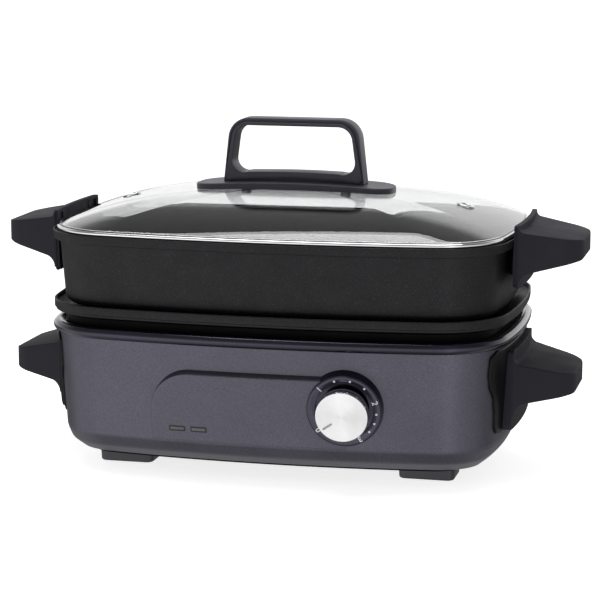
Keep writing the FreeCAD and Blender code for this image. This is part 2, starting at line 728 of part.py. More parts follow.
def grill_plate():
    """Cast plate: rim, basin with ridges, and a skirt that stands on the tray's shelf."""
    rim = stack([(PLATE_OUT - 1.2, PLATE_RIM_Z), (PLATE_OUT, PLATE_RIM_Z + 1.2),
                 (PLATE_OUT, PLATE_TOP - 1), (PLATE_OUT - 1, PLATE_TOP)])
    under = stack([(-4, PLATE_UNDER), (1, PLATE_RIM_Z)])
    skirt_out = COLLAR_OUT - STEEL - 0.5
    skirt = ring(skirt_out, skirt_out - 4, LEDGE_Z + FIT, PLATE_UNDER)
    basin = stack([(-9, PLATE_FLOOR), (-6.5, PLATE_FLOOR + 0.6), (-1.8, PLATE_FLOOR + 2.6),
                   (0.4, PLATE_TOP - 2.6), (1.8, PLATE_TOP + 0.1)])
    ridge_field = stack([(-22, PLATE_FLOOR - 1), (-22, RIDGE_TOP)])
    ridges = []
    for index in range(17):
        x = (index - 8) * 21
        blank = slab([(x - 3, -120, PLATE_FLOOR - 1), (x + 3, -120, PLATE_FLOOR - 1),
                      (x + 1.6, -120, RIDGE_TOP), (x - 1.6, -120, RIDGE_TOP)],
                     [0, 0, 0.8, 0.8], (0, 240, 0))
        ridges.append(blank.common(ridge_field))
    return fuse([fuse([rim, under, skirt]).cut(basin)] + ridges)


# ---- pot ----------------------------------------------------------------------------

def pot():
    """Deep cast pot: tapered wall, thick flange, rounded floor and a lug at each end."""
    outside = stack([(-14, POT_BOTTOM), (-10.4, POT_BOTTOM + 1), (-7.2, POT_BOTTOM + 3.8),
                     (-5.6, POT_BOTTOM + 8), (-1.6, POT_FLANGE_Z)])
    flange = stack([(POT_OUT - 0.8, POT_FLANGE_Z), (POT_OUT, POT_FLANGE_Z + 0.8),
                    (POT_OUT, POT_TOP - 1), (POT_OUT - 1, POT_TOP)])
    inside = stack([(-16, POT_BOTTOM + CAST), (-12.4, POT_BOTTOM + CAST + 1),
                    (-9.6, POT_BOTTOM + CAST + 3.6), (-5.6 - CAST, POT_BOTTOM + CAST + 8),
                    (-1.6 - CAST, POT_FLANGE_Z), (-1.6 - CAST, POT_TOP + 1)])
    shape = fuse([outside, flange]).cut(inside)
    lug_low = POT_HANDLE_LOW + 8
    for side in (-1, 1):
        inner_x = side * (PLAN_X - 1.6 - CAST + 1)
        lug = box((min(inner_x, side * POT_PLATE_X), -26, lug_low),
                  (max(inner_x, side * POT_PLATE_X), 26, POT_FLANGE_Z))
        lug = lug.common(stack([(POT_OUT + 0.2, lug_low), (POT_OUT + 0.2, POT_FLANGE_Z)]))
        shape = shape.fuse(lug.cut(inside))
    for side, y, z in pot_handle_screw_places():
        shape = shape.cut(rod(2, (side * (POT_PLATE_X - 5), y, z), (side * (POT_PLATE_X + 1), y, z)))
    return shape.removeSplitter()


# ---- lid ----------------------------------------------------------------------------

LID_X = PLAN_X + 0.4
LID_Y = PLAN_Y + 0.4
DOME_POWER = 3.0


def dome_height(share):
    """Height over the lid's edge, at a share of the way from the middle to the edge."""
    return DOME_RISE * (1 - share ** DOME_POWER)


def dome(drop, low):
    """Solid under the dome surface lowered by drop, down to a flat bottom at low."""
    shares = [1.0 - 0.0075 * step * step for step in range(0, 12)]
    wires = [lid_outline(1.0, low)]
    for share in shares:
        wires.append(lid_outline(share, GLASS_EDGE_TOP - drop + dome_height(share)))
    return Part.makeLoft(wires, True, True)


def lid_outline(share, z):
    return plan_wire(LID_X * share, LID_Y * share, (PLAN_R + 0.4) * share, BOW_R * share,
                     END_R * share, z)


def vent_frame(side):
    """Placement of a steam vent, square to the sloping glass."""
    share = VENT_X / LID_X
    slope = DOME_RISE * DOME_POWER * share ** (DOME_POWER - 1) / LID_X
    place = V(side * VENT_X, 0, GLASS_EDGE_TOP + dome_height(share))
    return Placement(place, Rotation(V(0, 0, 1), V(side * slope, 0, 1)))


def lid_glass():
    solid = dome(0, GLASS_EDGE_TOP - GLASS).cut(dome(GLASS, GLASS_EDGE_TOP - 2 * GLASS))
    for side in (-1, 1):
        hole = Part.makeCylinder(VENT_R + 1, 20, V(0, 0, -10))
        hole.Placement = vent_frame(side)
        solid = solid.cut(hole)
        x = side * LID_SCREW_X
        solid = solid.cut(rod(2.6, (x, 0, STRAP_TOP - 20), (x, 0, STRAP_TOP)))
    return solid


def lid_rim(glass):
    """Folded steel channel round the edge of the glass."""
    channel = stack([(LID_OUT - 0.6, LID_Z), (LID_OUT, LID_Z + 0.6), (LID_OUT, GLASS_EDGE_TOP - 0.6),
                     (LID_OUT - 0.7, GLASS_EDGE_TOP + 0.3), (-2.4, GLASS_EDGE_TOP + 1.5)])
    return channel.cut(stack([(-3.0, LID_Z - 1), (-3.0, GLASS_EDGE_TOP + 9)])).cut(glass)


def vent(side):
    """Steel eyelet: a tube through the glass with a rolled flange on each face."""
    tube = Part.makeCylinder(VENT_R + 0.9, GLASS + 2.6, V(0, 0, -GLASS - 1.3))
    top = Part.makeCylinder(VENT_FLANGE_R, 1.4, V(0, 0, 0.1))
    top = top.makeFillet(0.9, [edge for edge in top.Edges if edge.BoundBox.ZMin > 1.4])
    under = Part.makeCylinder(VENT_FLANGE_R - 1, 1.1, V(0, 0, -GLASS - 1.4))
    shape = fuse([tube, top, under]).cut(Part.makeCylinder(VENT_R, 20, V(0, 0, -10)))
    shape.Placement = vent_frame(side)
    return shape


def strap_arc(top, margin=0.0):
    """Big cylinder whose crown is the arched top of the lid handle's base plate."""
    radius = STRAP_ARC_R + margin
    centre_z = top - STRAP_ARC_R
    return Part.makeCylinder(radius, 200, V(0, -100, centre_z), V(0, 1, 0))


def lid_handle_plate():
    blank = slab([(-STRAP_HALF_X, -STRAP_HALF_Y, 230), (STRAP_HALF_X, -STRAP_HALF_Y, 230),
                  (STRAP_HALF_X, STRAP_HALF_Y, 230), (-STRAP_HALF_X, STRAP_HALF_Y, 230)],
                 [15] * 4, (0, 0, 30))
    shape = blank.common(strap_arc(STRAP_TOP)).cut(dome(0, 200))
    for side in (-1, 1):
        x = side * LID_SCREW_X
        shape = shape.cut(rod(2.6, (x, 0, 230), (x, 0, STRAP_TOP + 1)))
    return shape


def lid_handle_loop():
    """Grip loop on the arched plate, with a tall finger opening."""
    half = LOOP_HALF_Y
    outer = slab([(-LOOP_FOOT_X, -half, 240), (LOOP_FOOT_X, -half, 240),
                  (LOOP_HEAD_X, -half, LOOP_TOP), (-LOOP_HEAD_X, -half, LOOP_TOP)],
                 [0, 0, LOOP_CORNER, LOOP_CORNER], (0, 2 * half, 0))
    outer = outer.cut(strap_arc(STRAP_TOP))
    floor = STRAP_TOP + 4
    hole_foot = LOOP_FOOT_X - LOOP_BAR
    hole_head = LOOP_HEAD_X - LOOP_BAR + 0.4
    hole = slab([(-hole_foot, -half - 1, floor), (hole_foot, -half - 1, floor),
                 (hole_head, -half - 1, LOOP_TOP - LOOP_BAR), (-hole_head, -half - 1, LOOP_TOP - LOOP_BAR)],
                [11, 11, 13, 13], (0, 2 * half + 2, 0))
    hole = hole.cut(strap_arc(STRAP_TOP, 8.4))
    shape = outer.cut(hole)
    for side in (-1, 1):
        x = side * LID_SCREW_X
        shape = shape.cut(rod(2.0, (x, 0, 240), (x, 0, STRAP_TOP + 7)))
    return shape


def lid_screws():
    """Screws from under the glass, through the plate into the loop, with their washers."""
    screws = []
    for side in (-1, 1):
        x = side * LID_SCREW_X
        under = GLASS_EDGE_TOP + dome_height(LID_SCREW_X / LID_X) - GLASS - 1.2
        head = rod(4.6, (x, 0, under - 3), (x, 0, under))
        shank = rod(2.0, (x, 0, under), (x, 0, STRAP_TOP + 7))
        slot = box((x - 5, -0.6, under - 4), (x + 5, 0.6, under - 2))
        screws.append(head.fuse(shank).removeSplitter().cut(slot))
    return Part.makeCompound(screws)


def lid_washers(glass):
    """Silicone washers between screw heads and glass."""
    washers = []
    for side in (-1, 1):
        x = side * LID_SCREW_X
        under = GLASS_EDGE_TOP + dome_height(LID_SCREW_X / LID_X) - GLASS - 1.2
        disc = rod(7, (x, 0, under), (x, 0, under + 1.6))
        washers.append(disc.cut(rod(2.05, (x, 0, under - 1), (x, 0, under + 3))).cut(glass))
    return Part.makeCompound(washers)


# ---- write every node ---------------------------------------------------------------

def main():
    save("base_shell", base_shell())
    save("top_rim", top_rim())
    save("heat_tray", heat_tray())
    save("reflector", reflector())
    save("heating_element", heating_element())
    save("element_clips", element_clips())
    save("bottom_cover", bottom_cover())
    save("cover_posts", cover_posts())
    save("cover_screws", cover_screws())
    for side, side_name in ((-1, "left"), (1, "right")):
        for end, end_name in ((-1, "front"), (1, "rear")):
            save("foot_" + end_name + "_" + side_name, foot(side, end))
    save("foot_pads", foot_pads())
    save("base_handle_screws", base_handle_screws())
    save("thermostat", thermostat())
    save("thermal_fuse", thermal_fuse())
    save("terminal_block", terminal_block())
    save("terminal_screws", terminal_screws())
    save("lamp_board", lamp_board())
    save("lamp_lens_left", lamp_lens(LAMP_X[0]))
    save("lamp_lens_right", lamp_lens(LAMP_X[1]))
    save("wiring", wiring())
    save("cable_gland", cable_gland())
    save("dial_ring", dial_ring())
    save("knob_cap", knob_cap())
    save("knob_skirt", knob_skirt())
    save("knob_shaft", knob_shaft())
    save("grill_plate", grill_plate())
    save("pot", pot())
    save("pot_handle_screws", pot_handle_screws())
    handles = {"base_handle": base_handle(), "base_handle_pad": base_handle_pad(),
               "pot_handle": pot_handle()}
    for name, shape in handles.items():
        save(name + "_right", shape)
        save(name + "_left", mirror_x(shape))
    glass = lid_glass()
    save("lid_glass", glass)
    save("lid_rim", lid_rim(glass))
    save("vent_left", vent(-1))
    save("vent_right", vent(1))
    save("lid_handle_plate", lid_handle_plate())
    save("lid_handle_loop", lid_handle_loop())
    save("lid_screws", lid_screws())
    save("lid_washers", lid_washers(glass))


main()
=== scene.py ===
import bmesh
import bpy
import json
from math import atan2, cos, pi, radians, sin, sqrt, tan
from mathutils import Matrix, Vector


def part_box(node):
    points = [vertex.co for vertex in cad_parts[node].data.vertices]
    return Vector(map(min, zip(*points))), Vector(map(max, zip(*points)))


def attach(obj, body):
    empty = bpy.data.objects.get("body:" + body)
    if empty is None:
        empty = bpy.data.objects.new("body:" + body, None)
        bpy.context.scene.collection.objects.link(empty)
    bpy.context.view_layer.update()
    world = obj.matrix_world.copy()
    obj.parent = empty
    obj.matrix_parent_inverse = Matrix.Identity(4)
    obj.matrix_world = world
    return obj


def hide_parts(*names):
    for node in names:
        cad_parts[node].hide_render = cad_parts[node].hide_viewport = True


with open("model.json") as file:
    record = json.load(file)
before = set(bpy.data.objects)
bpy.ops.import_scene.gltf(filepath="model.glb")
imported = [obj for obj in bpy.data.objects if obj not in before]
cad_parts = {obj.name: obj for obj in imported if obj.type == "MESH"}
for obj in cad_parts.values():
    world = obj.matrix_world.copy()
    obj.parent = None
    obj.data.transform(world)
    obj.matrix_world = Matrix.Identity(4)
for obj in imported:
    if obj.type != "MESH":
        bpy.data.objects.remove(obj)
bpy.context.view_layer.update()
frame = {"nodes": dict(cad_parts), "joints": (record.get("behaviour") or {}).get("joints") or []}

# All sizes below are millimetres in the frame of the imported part: X right, front -Y, Z up.
MM = 0.001


def corners(node):
    low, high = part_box(node)
    return low / MM, high / MM


shell_low, shell_high = corners("base_shell")
_, rim_high = corners("top_rim")
plate_low, plate_high = corners("grill_plate")
pot_low, pot_high = corners("pot")
steel_low, steel_high = corners("lid_rim")
_, glass_high = corners("lid_glass")
_, strap_high = corners("lid_handle_plate")
_, loop_high = corners("lid_handle_loop")
grip_low, grip_high = corners("base_handle_right")
ear_low, ear_high = corners("pot_handle_right")
pad_low, pad_high = corners("base_handle_pad_right")

# ---- plan of the housing ----

HALF_X = shell_high.x
HALF_Y = shell_high.y
CORNER_R = 61
BOW_R = 1100            # bowed front and back
END_R = 560             # bowed ends
SHEET = 1.8

WALL_TOP = shell_high.z
BELLY_Z = shell_low.z
CREASE_Z = 34.4         # the wall draws in slowly down to here, and the skirt below it
CREASE_IN = 5.3
BELLY_IN = 27
END_FULLER = 7          # how much less the skirt draws in at the ends
RIM_TOP = rim_high.z
BEAD_OUT = rim_high.x - HALF_X
PLATE_OUT = plate_high.y - HALF_Y
POT_OUT = pot_high.y - HALF_Y
LID_OUT = steel_high.y - HALF_Y

BOW_MID = Vector((0, HALF_Y - BOW_R))
END_MID = Vector((HALF_X - END_R, 0))


def corner_centre():
    """Centre of the corner arc that touches both bows from inside."""
    reach_bow = BOW_R - CORNER_R
    reach_end = END_R - CORNER_R
    between = END_MID - BOW_MID
    along = (reach_bow ** 2 - reach_end ** 2 + between.length_squared) / (2 * between.length)
    aside = sqrt(reach_bow ** 2 - along ** 2)
    ahead = between.normalized()
    return BOW_MID + ahead * along + Vector((ahead.y, -ahead.x)) * aside


CORNER = corner_centre()
SWING = atan2(CORNER.x, CORNER.y - BOW_MID.y)     # half the angle of the bowed front
TURN = atan2(CORNER.y, CORNER.x - END_MID.x)      # half the angle of the bowed end


def plan_outline(bow_steps=26, corner_steps=18, end_steps=16):
    """Points of the plan and their outward normals, anticlockwise from the front left."""
    outline = []

    def arc(centre, radius, start, end, steps):
        for step in range(steps):
            angle = start + (end - start) * step / steps
            out = (cos(angle), sin(angle))
            outline.append((centre[0] + radius * out[0], centre[1] + radius * out[1], *out))

    quarter = pi / 2
    arc(-BOW_MID, BOW_R, -quarter - SWING, -quarter + SWING, bow_steps)
    arc((CORNER.x, -CORNER.y), CORNER_R, -quarter + SWING, -TURN, corner_steps)
    arc(END_MID, END_R, -TURN, TURN, end_steps)
    arc(CORNER, CORNER_R, TURN, quarter - SWING, corner_steps)
    return outline + [(-x, -y, -nx, -ny) for x, y, nx, ny in outline]


PLAN = plan_outline()


def ring(offset, z):
    """The plan moved out by offset, at height z."""
    return [(x + nx * offset, y + ny * offset, z) for x, y, nx, ny in PLAN]


def depth_at(x, offset):
    """Half depth of the plan at a place along its length."""
    x = abs(x)
    if x > (BOW_R + offset) * sin(SWING):
        return CORNER.y + sqrt(max(0, (CORNER_R + offset) ** 2 - (x - CORNER.x) ** 2))
    return sqrt((BOW_R + offset) ** 2 - x ** 2) + BOW_MID.y


def end_x(y, offset):
    """X of the bowed right-hand end at a place across it."""
    return END_MID.x + sqrt((END_R + offset) ** 2 - y ** 2)


def end_place(s, offset):
    """Point of the right-hand end, s along it from its middle, round the corners too."""
    sign = 1 if s > 0 else -1
    past = abs(s) - END_R * TURN
    if past < 0:
        angle = abs(s) / END_R
        reach = END_R + offset
        return END_MID.x + reach * cos(angle), sign * reach * sin(angle)
    angle = TURN + past / CORNER_R
    reach = CORNER_R + offset
    return CORNER.x + reach * cos(angle), sign * (CORNER.y + reach * sin(angle))


# ---- mesh tools ----

def loft(loops, closed=False, material=0):
    """Quads between equal loops of points; caps at both ends, or the last meets the first."""
    count = len(loops[0])
    faces = []
    for a in range(len(loops) if closed else len(loops) - 1):
        b = (a + 1) % len(loops)
        for i in range(count):
            j = (i + 1) % count
            faces.append((a * count + i, a * count + j, b * count + j, b * count + i))
    if not closed:
        faces.append(tuple(reversed(range(count))))
        faces.append(tuple(range((len(loops) - 1) * count, len(loops) * count)))
    return [point for loop in loops for point in loop], faces, material


def rounded(profile, steps=6):
    """Profile points (a, b); a point (a, b, radius) becomes an arc. The first follows the last."""
    points = []
    count = len(profile)
    for index, corner in enumerate(profile):
        here = Vector(corner[:2])
        radius = corner[2] if len(corner) > 2 else 0
        if not radius:
            points.append(tuple(here))
            continue
        before = Vector(profile[index - 1][:2]) - here
        after = Vector(profile[(index + 1) % count][:2]) - here
        half = before.angle(after) / 2
        cut = min(radius / tan(half), 0.49 * before.length, 0.49 * after.length)
        centre = here + (before.normalized() + after.normalized()).normalized() * cut / cos(half)
        first = here + before.normalized() * cut - centre
        last = here + after.normalized() * cut - centre
        sweep = first.angle(last)
        for step in range(steps + 1):
            share = step / steps
            spoke = (first * sin((1 - share) * sweep) + last * sin(share * sweep)) / sin(sweep)
            points.append(tuple(centre + spoke))
    return points


def rounded_box(half_a, half_b, radius, steps=6):
    """Rounded rectangle about the middle, with the same number of points for any size."""
    radius = min(radius, half_a * 0.999, half_b * 0.999)
    points = []
    for corner, (sa, sb) in enumerate(((1, 1), (-1, 1), (-1, -1), (1, -1))):
        for step in range(steps + 1):
            angle = (corner + step / steps) * pi / 2
            points.append((sa * (half_a - radius) + radius * cos(angle),
                           sb * (half_b - radius) + radius * sin(angle)))
    return points


def patch(columns, rows, place, edge, sink, material=0):
    """Raised pad over a curved face, closed behind.

    columns: (s, low, high) of the pad's outline drawn in by edge; place(s, t, drop) gives the
    point that lies drop under the pad's face; its rim is rounded by edge and ends at sink.
    """
    across = rows + 1
    grid = [(s, low + (high - low) * row / rows) for s, low, high in columns for row in range(across)]
    points = [place(s, t, 0) for s, t in grid] + [place(s, t, sink) for s, t in grid]
    faces = []
    back = len(grid)
    for column in range(len(columns) - 1):
        for row in range(rows):
            a = column * across + row
            corners = (a, a + across, a + across + 1, a + 1)
            faces.append(corners)
            faces.append(tuple(back + index for index in reversed(corners)))
    last = (len(columns) - 1) * across
    border = ([c * across for c in range(len(columns))]
              + [last + r for r in range(1, across)]
              + [c * across + rows for c in range(len(columns) - 2, -1, -1)]
              + list(range(rows - 1, 0, -1)))
    outward = []
    for index in range(len(border)):
        before = Vector(grid[border[index - 1]])
        after = Vector(grid[border[(index + 1) % len(border)]])
        along = (after - before).normalized()
        outward.append((along.y, -along.x))
    bends = [(edge * sin(k * pi / 10), edge * (1 - cos(k * pi / 10))) for k in range(1, 6)]
    previous = border
    for spread, drop in bends + [(edge, sink)]:
        current = []
        for index, corner in enumerate(border):
            s, t = grid[corner]
            current.append(len(points))
            points.append(place(s + outward[index][0] * spread, t + outward[index][1] * spread, drop))
        faces += joined(previous, current)
        previous = current
    faces += joined(previous, [back + index for index in border])
    return points, faces, material


def joined(first, second):
    """Quads between two closed loops of point numbers."""
    count = len(first)
    return [(first[i], first[(i + 1) % count], second[(i + 1) % count], second[i])
            for i in range(count)]


def flare(distance, radius):
    """Fillet: how far it reaches at a distance from the wall that it grows from."""
    if distance >= radius:
        return 0
    return radius - sqrt(radius ** 2 - (radius - distance) ** 2)


def mirrored(part):
    points, faces, material = part
    return [(-x, y, z) for x, y, z in points], faces, material


def make_piece(name, parts, body, finishes, replaces=(), sharp=38, matrix=None):
    """One mesh object from parts, in millimetres, that rides on a body."""
    build = bmesh.new()
    for points, faces, material in parts:
        made = [build.verts.new(Vector(point) * MM) for point in points]
        for face in faces:
            if len(set(face)) == len(face):
                build.faces.new([made[index] for index in face]).material_index = material
    bmesh.ops.remove_doubles(build, verts=build.verts, dist=1e-6)
    bmesh.ops.recalc_face_normals(build, faces=build.faces)
    mesh = bpy.data.meshes.new(name)
    build.to_mesh(mesh)
    build.free()
    mesh.shade_smooth()
    mesh.set_sharp_from_angle(angle=radians(sharp))
    for finish in finishes:
        mesh.materials.append(finish)
    piece = bpy.data.objects.new(name, mesh)
    bpy.context.scene.collection.objects.link(piece)
    if matrix is not None:
        piece.matrix_world = matrix
    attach(piece, body)
    if replaces:
        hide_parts(*replaces)
    return piece


# ---- materials ----

def fill(node, **values):
    """Set a node's sockets; an underscore in a name stands for a space."""
    for name, value in values.items():
        node.inputs[name.replace("_", " ")].default_value = value


def start_material(name, colour, roughness, metallic=0.0):
    """New material: its node tree, its shader and the object's own coordinates."""
    material = bpy.data.materials.new(name)
    material.use_nodes = True
    tree = material.node_tree
    shader = tree.nodes["Principled BSDF"]
    fill(shader, Base_Color=(*colour, 1), Roughness=roughness, Metallic=metallic)
    place = tree.nodes.new("ShaderNodeTexCoord").outputs["Object"]
    return material, tree, shader, place


def noise(tree, place, grain, detail=3.0, stretch=None):
    """Noise whose lumps are about grain millimetres across."""
    if stretch:
        mapping = tree.nodes.new("ShaderNodeMapping")
        mapping.inputs["Scale"].default_value = stretch
        tree.links.new(place, mapping.inputs["Vector"])
        place = mapping.outputs["Vector"]
    texture = tree.nodes.new("ShaderNodeTexNoise")
    fill(texture, Scale=1 / (grain * MM), Detail=detail)
    tree.links.new(place, texture.inputs["Vector"])
    return texture.outputs["Fac"]


def cells(tree, place, grain):
    """One random grey for each cell of about grain millimetres."""
    texture = tree.nodes.new("ShaderNodeTexVoronoi")
    texture.inputs["Scale"].default_value = 1 / (grain * MM)
    tree.links.new(place, texture.inputs["Vector"])
    grey = tree.nodes.new("ShaderNodeSeparateColor")
    tree.links.new(texture.outputs["Color"], grey.inputs["Color"])
    return grey.outputs["Red"]


def ramp(tree, factor, stops):
    """Colour ramp through (position, colour) stops, linked from a factor."""
    node = tree.nodes.new("ShaderNodeValToRGB")
    elements = node.color_ramp.elements
    while len(elements) < len(stops):
        elements.new(0.5)
    for element, (position, colour) in zip(elements, stops):
        element.position = position
        element.color = (*colour, 1)
    tree.links.new(factor, node.inputs["Fac"])
    return node.outputs["Color"]


def tint(tree, shader, factor, stops):
    """The shader's colour from a ramp."""
    tree.links.new(ramp(tree, factor, stops), shader.inputs["Base Color"])


def span(tree, factor, low, high, from_low=0.3, from_high=0.7):
    """The factor's usual range mapped to low..high."""
    node = tree.nodes.new("ShaderNodeMapRange")
    fill(node, From_Min=from_low, From_Max=from_high, To_Min=low, To_Max=high)
    tree.links.new(factor, node.inputs["Value"])
    return node.outputs["Result"]


def plug(tree, sockets, terms):
    """Feed sockets; a term is a number or another node's output."""
    for socket, term in zip(sockets, terms):
        if isinstance(term, (int, float)):
            socket.default_value = term
        else:
            tree.links.new(term, socket)


def math_node(tree, operation, *terms):
    node = tree.nodes.new("ShaderNodeMath")
    node.operation = operation
    plug(tree, node.inputs, terms)
    return node.outputs[0]


def mix_node(tree, blend, *terms):
    """Colour mix; the terms are the factor and the two colours."""
    node = tree.nodes.new("ShaderNodeMix")
    node.data_type = "RGBA"
    node.blend_type = blend
    plug(tree, [node.inputs[index] for index in (0, 6, 7)], terms)
    return node.outputs[2]


def bump(tree, shader, heights):
    """Bumps stacked on the shader's normal: (height, depth in millimetres, strength)."""
    normal = None
    for height, depth, strength in heights:
        node = tree.nodes.new("ShaderNodeBump")
        fill(node, Distance=depth * MM, Strength=strength)
        tree.links.new(height, node.inputs["Height"])
        if normal:
            tree.links.new(normal, node.inputs["Normal"])
        normal = node.outputs["Normal"]
    tree.links.new(normal, shader.inputs["Normal"])


def shade(colour, factor):
    return tuple(min(1, channel * factor) for channel in colour)


def paint(name, colour, roughness, flake=0.25, coat=0.0, coat_roughness=0.08, metallic=0.55):
    """Metallic paint: fine flakes, a faint cloudiness and a little orange peel."""
    material, tree, shader, place = start_material(name, colour, roughness, metallic)
    flakes = cells(tree, place, 0.55)
    clouds = noise(tree, place, 45, 2)
    both = math_node(tree, "MULTIPLY_ADD", flakes, 0.75, span(tree, clouds, 0, 0.25))
    tint(tree, shader, both, [
        (0.0, shade(colour, 1 - flake)), (0.55, colour),
        (0.93, shade(colour, 1 + flake)), (1.0, shade(colour, 1 + 2.4 * flake))])
    tree.links.new(span(tree, clouds, roughness * 0.92, roughness * 1.08), shader.inputs["Roughness"])
    fill(shader, Coat_Weight=coat, Coat_Roughness=coat_roughness)
    bump(tree, shader, [(noise(tree, place, 2.2, 2), 0.02, 0.35), (flakes, 0.01, 0.5)])
    return material


def plastic(name, colour, roughness, grain=0.45, depth=0.03, specular=0.5):
    """Moulded plastic with spark-eroded grain and faint handling marks."""
    material, tree, shader, place = start_material(name, colour, roughness)
    shader.inputs["Specular IOR Level"].default_value = specular
    patches = noise(tree, place, 30, 3)
    fine = noise(tree, place, grain, 2)
    tint(tree, shader, patches, [
        (0.3, shade(colour, 0.88)), (0.55, colour), (0.8, shade(colour, 1.18))])
    tree.links.new(span(tree, patches, roughness * 0.9, roughness * 1.12), shader.inputs["Roughness"])
    bump(tree, shader, [(fine, depth, 0.6), (noise(tree, place, 4, 2), 0.04, 0.2)])
    return material


def coated(name, colour, roughness):
    """Non-stick coating: dark, with fine bright specks and a soft sheen."""
    material, tree, shader, place = start_material(name, colour, roughness, 0.2)
    shader.inputs["Specular IOR Level"].default_value = 0.35
    specks = cells(tree, place, 0.7)
    tint(tree, shader, specks, [
        (0.0, shade(colour, 0.8)), (0.7, colour), (0.9, shade(colour, 1.5)), (1.0, shade(colour, 3.2))])
    tree.links.new(span(tree, noise(tree, place, 18, 3), roughness * 0.88, roughness * 1.12),
                   shader.inputs["Roughness"])
    bump(tree, shader, [(specks, 0.015, 0.6), (noise(tree, place, 1.6, 3), 0.03, 0.4)])
    return material


def metal(name, colour, roughness, grain=0.3, stretch=(1, 1, 12), streak=0.1):
    """Bare metal with a directional finish."""
    material, tree, shader, place = start_material(name, colour, roughness, 1.0)
    streaks = noise(tree, place, grain * 12, 4, stretch)
    tint(tree, shader, streaks, [(0.3, shade(colour, 1 - streak)), (0.7, colour)])
    tree.links.new(span(tree, streaks, roughness * 0.8, roughness * 1.25), shader.inputs["Roughness"])
    bump(tree, shader, [(streaks, 0.004, 0.3)])
    return material


def turned_metal(name, colour, roughness):
    """Lathe-turned face: fine rings about the piece's own Z axis and a soft sweep."""
    material, tree, shader, place = start_material(name, colour, roughness, 1.0)
    rings = tree.nodes.new("ShaderNodeTexWave")
    rings.wave_type = "RINGS"
    rings.rings_direction = "Z"
    fill(rings, Scale=900, Distortion=1.5)
    tree.links.new(place, rings.inputs["Vector"])
    tint(tree, shader, noise(tree, place, 9, 2), [
        (0.35, shade(colour, 0.94)), (0.7, colour)])
    tree.links.new(span(tree, rings.outputs["Fac"], roughness * 0.9, roughness * 1.1, 0, 1),
                   shader.inputs["Roughness"])
    bump(tree, shader, [(rings.outputs["Fac"], 0.003, 0.25)])
    shader.inputs["Anisotropic"].default_value = 0.6
    tangent = tree.nodes.new("ShaderNodeTangent")
    tangent.direction_type = "RADIAL"
    tangent.axis = "Z"
    tree.links.new(tangent.outputs["Tangent"], shader.inputs["Tangent"])
    return material


def clear_glass(name, colour, roughness=0.0):
    """Clear glass that lets lamp light through to what is under it."""
    material, tree, shader, place = start_material(name, colour, roughness)
    shader.inputs["Transmission Weight"].default_value = 1.0
    shader.inputs["IOR"].default_value = 1.5
    tint(tree, shader, noise(tree, place, 80, 2), [
        (0.3, shade(colour, 0.985)), (0.7, colour)])
    through = tree.nodes.new("ShaderNodeBsdfTransparent")
    through.inputs["Color"].default_value = (0.9, 0.9, 0.9, 1)
    path = tree.nodes.new("ShaderNodeLightPath")
    mix = tree.nodes.new("ShaderNodeMixShader")
    tree.links.new(path.outputs["Is Shadow Ray"], mix.inputs["Fac"])
    tree.links.new(shader.outputs["BSDF"], mix.inputs[1])
    tree.links.new(through.outputs["BSDF"], mix.inputs[2])
    tree.links.new(mix.outputs["Shader"], tree.nodes["Material Output"].inputs["Surface"])
    return material


def glowless_print(name, colour):
    """Printed ink with slightly uneven cover."""
    material, tree, shader, place = start_material(name, colour, 0.5)
    tint(tree, shader, noise(tree, place, 0.8, 2), [
        (0.3, shade(colour, 0.88)), (0.6, colour)])
    bump(tree, shader, [(noise(tree, place, 0.4, 2), 0.01, 0.3)])
    return material


VIOLET = (0.105, 0.100, 0.130)
DEEP_VIOLET = (0.024, 0.021, 0.042)

housing_paint = paint("housing_paint", VIOLET, 0.36)
gloss_paint = paint("gloss_paint", DEEP_VIOLET, 0.24, flake=0.35, coat=0.6, metallic=0.75)
dial_paint = paint("dial_paint", (0.034, 0.030, 0.064), 0.22, flake=0.2, coat=0.7, metallic=0.5)
handle_black = plastic("handle_black", (0.031, 0.029, 0.038), 0.66, specular=0.14)
handle_violet = plastic("handle_violet", (0.058, 0.055, 0.072), 0.4, grain=0.6, depth=0.02,
                        specular=0.3)
pad_black = plastic("pad_black", (0.007, 0.007, 0.008), 0.30, grain=0.8, depth=0.015, specular=0.2)
foot_plastic = plastic("foot_plastic", (0.024, 0.023, 0.034), 0.32)
rubber = plastic("rubber", (0.015, 0.015, 0.015), 0.75, grain=0.3, depth=0.05)
nonstick = coated("nonstick", (0.009, 0.009, 0.011), 0.45)
enamel = plastic("enamel", (0.003, 0.003, 0.003), 0.55, specular=0.08)
polished_steel = metal("polished_steel", (0.78, 0.78, 0.79), 0.07, streak=0.05)
screw_steel = metal("screw_steel", (0.55, 0.55, 0.56), 0.3)
zinc_steel = metal("zinc_steel", (0.60, 0.60, 0.58), 0.38, streak=0.25)
dark_steel = metal("dark_steel", (0.20, 0.18, 0.17), 0.45, streak=0.3)
bright_sheet = metal("bright_sheet", (0.75, 0.75, 0.76), 0.22, stretch=(1, 20, 1))
knob_satin = turned_metal("knob_satin", (0.98, 0.98, 0.98), 0.38)
knob_chrome = metal("knob_chrome", (0.80, 0.80, 0.82), 0.05, streak=0.02)
lid_clear = clear_glass("lid_clear", (0.97, 0.98, 0.98))
lens_grey = plastic("lens_grey", (0.13, 0.13, 0.135), 0.25, grain=1.2, depth=0.01)
lens_frame = plastic("lens_frame", (0.012, 0.012, 0.014), 0.35)
mark_white = glowless_print("mark_white", (0.90, 0.90, 0.92))
mark_grey = glowless_print("mark_grey", (0.60, 0.60, 0.61))
mark_dark = glowless_print("mark_dark", (0.16, 0.16, 0.17))
ceramic = plastic("ceramic", (0.72, 0.69, 0.62), 0.7, grain=0.8, depth=0.05)
nylon = plastic("nylon", (0.70, 0.68, 0.60), 0.5)
board_green = plastic("board_green", (0.05, 0.14, 0.06), 0.45)
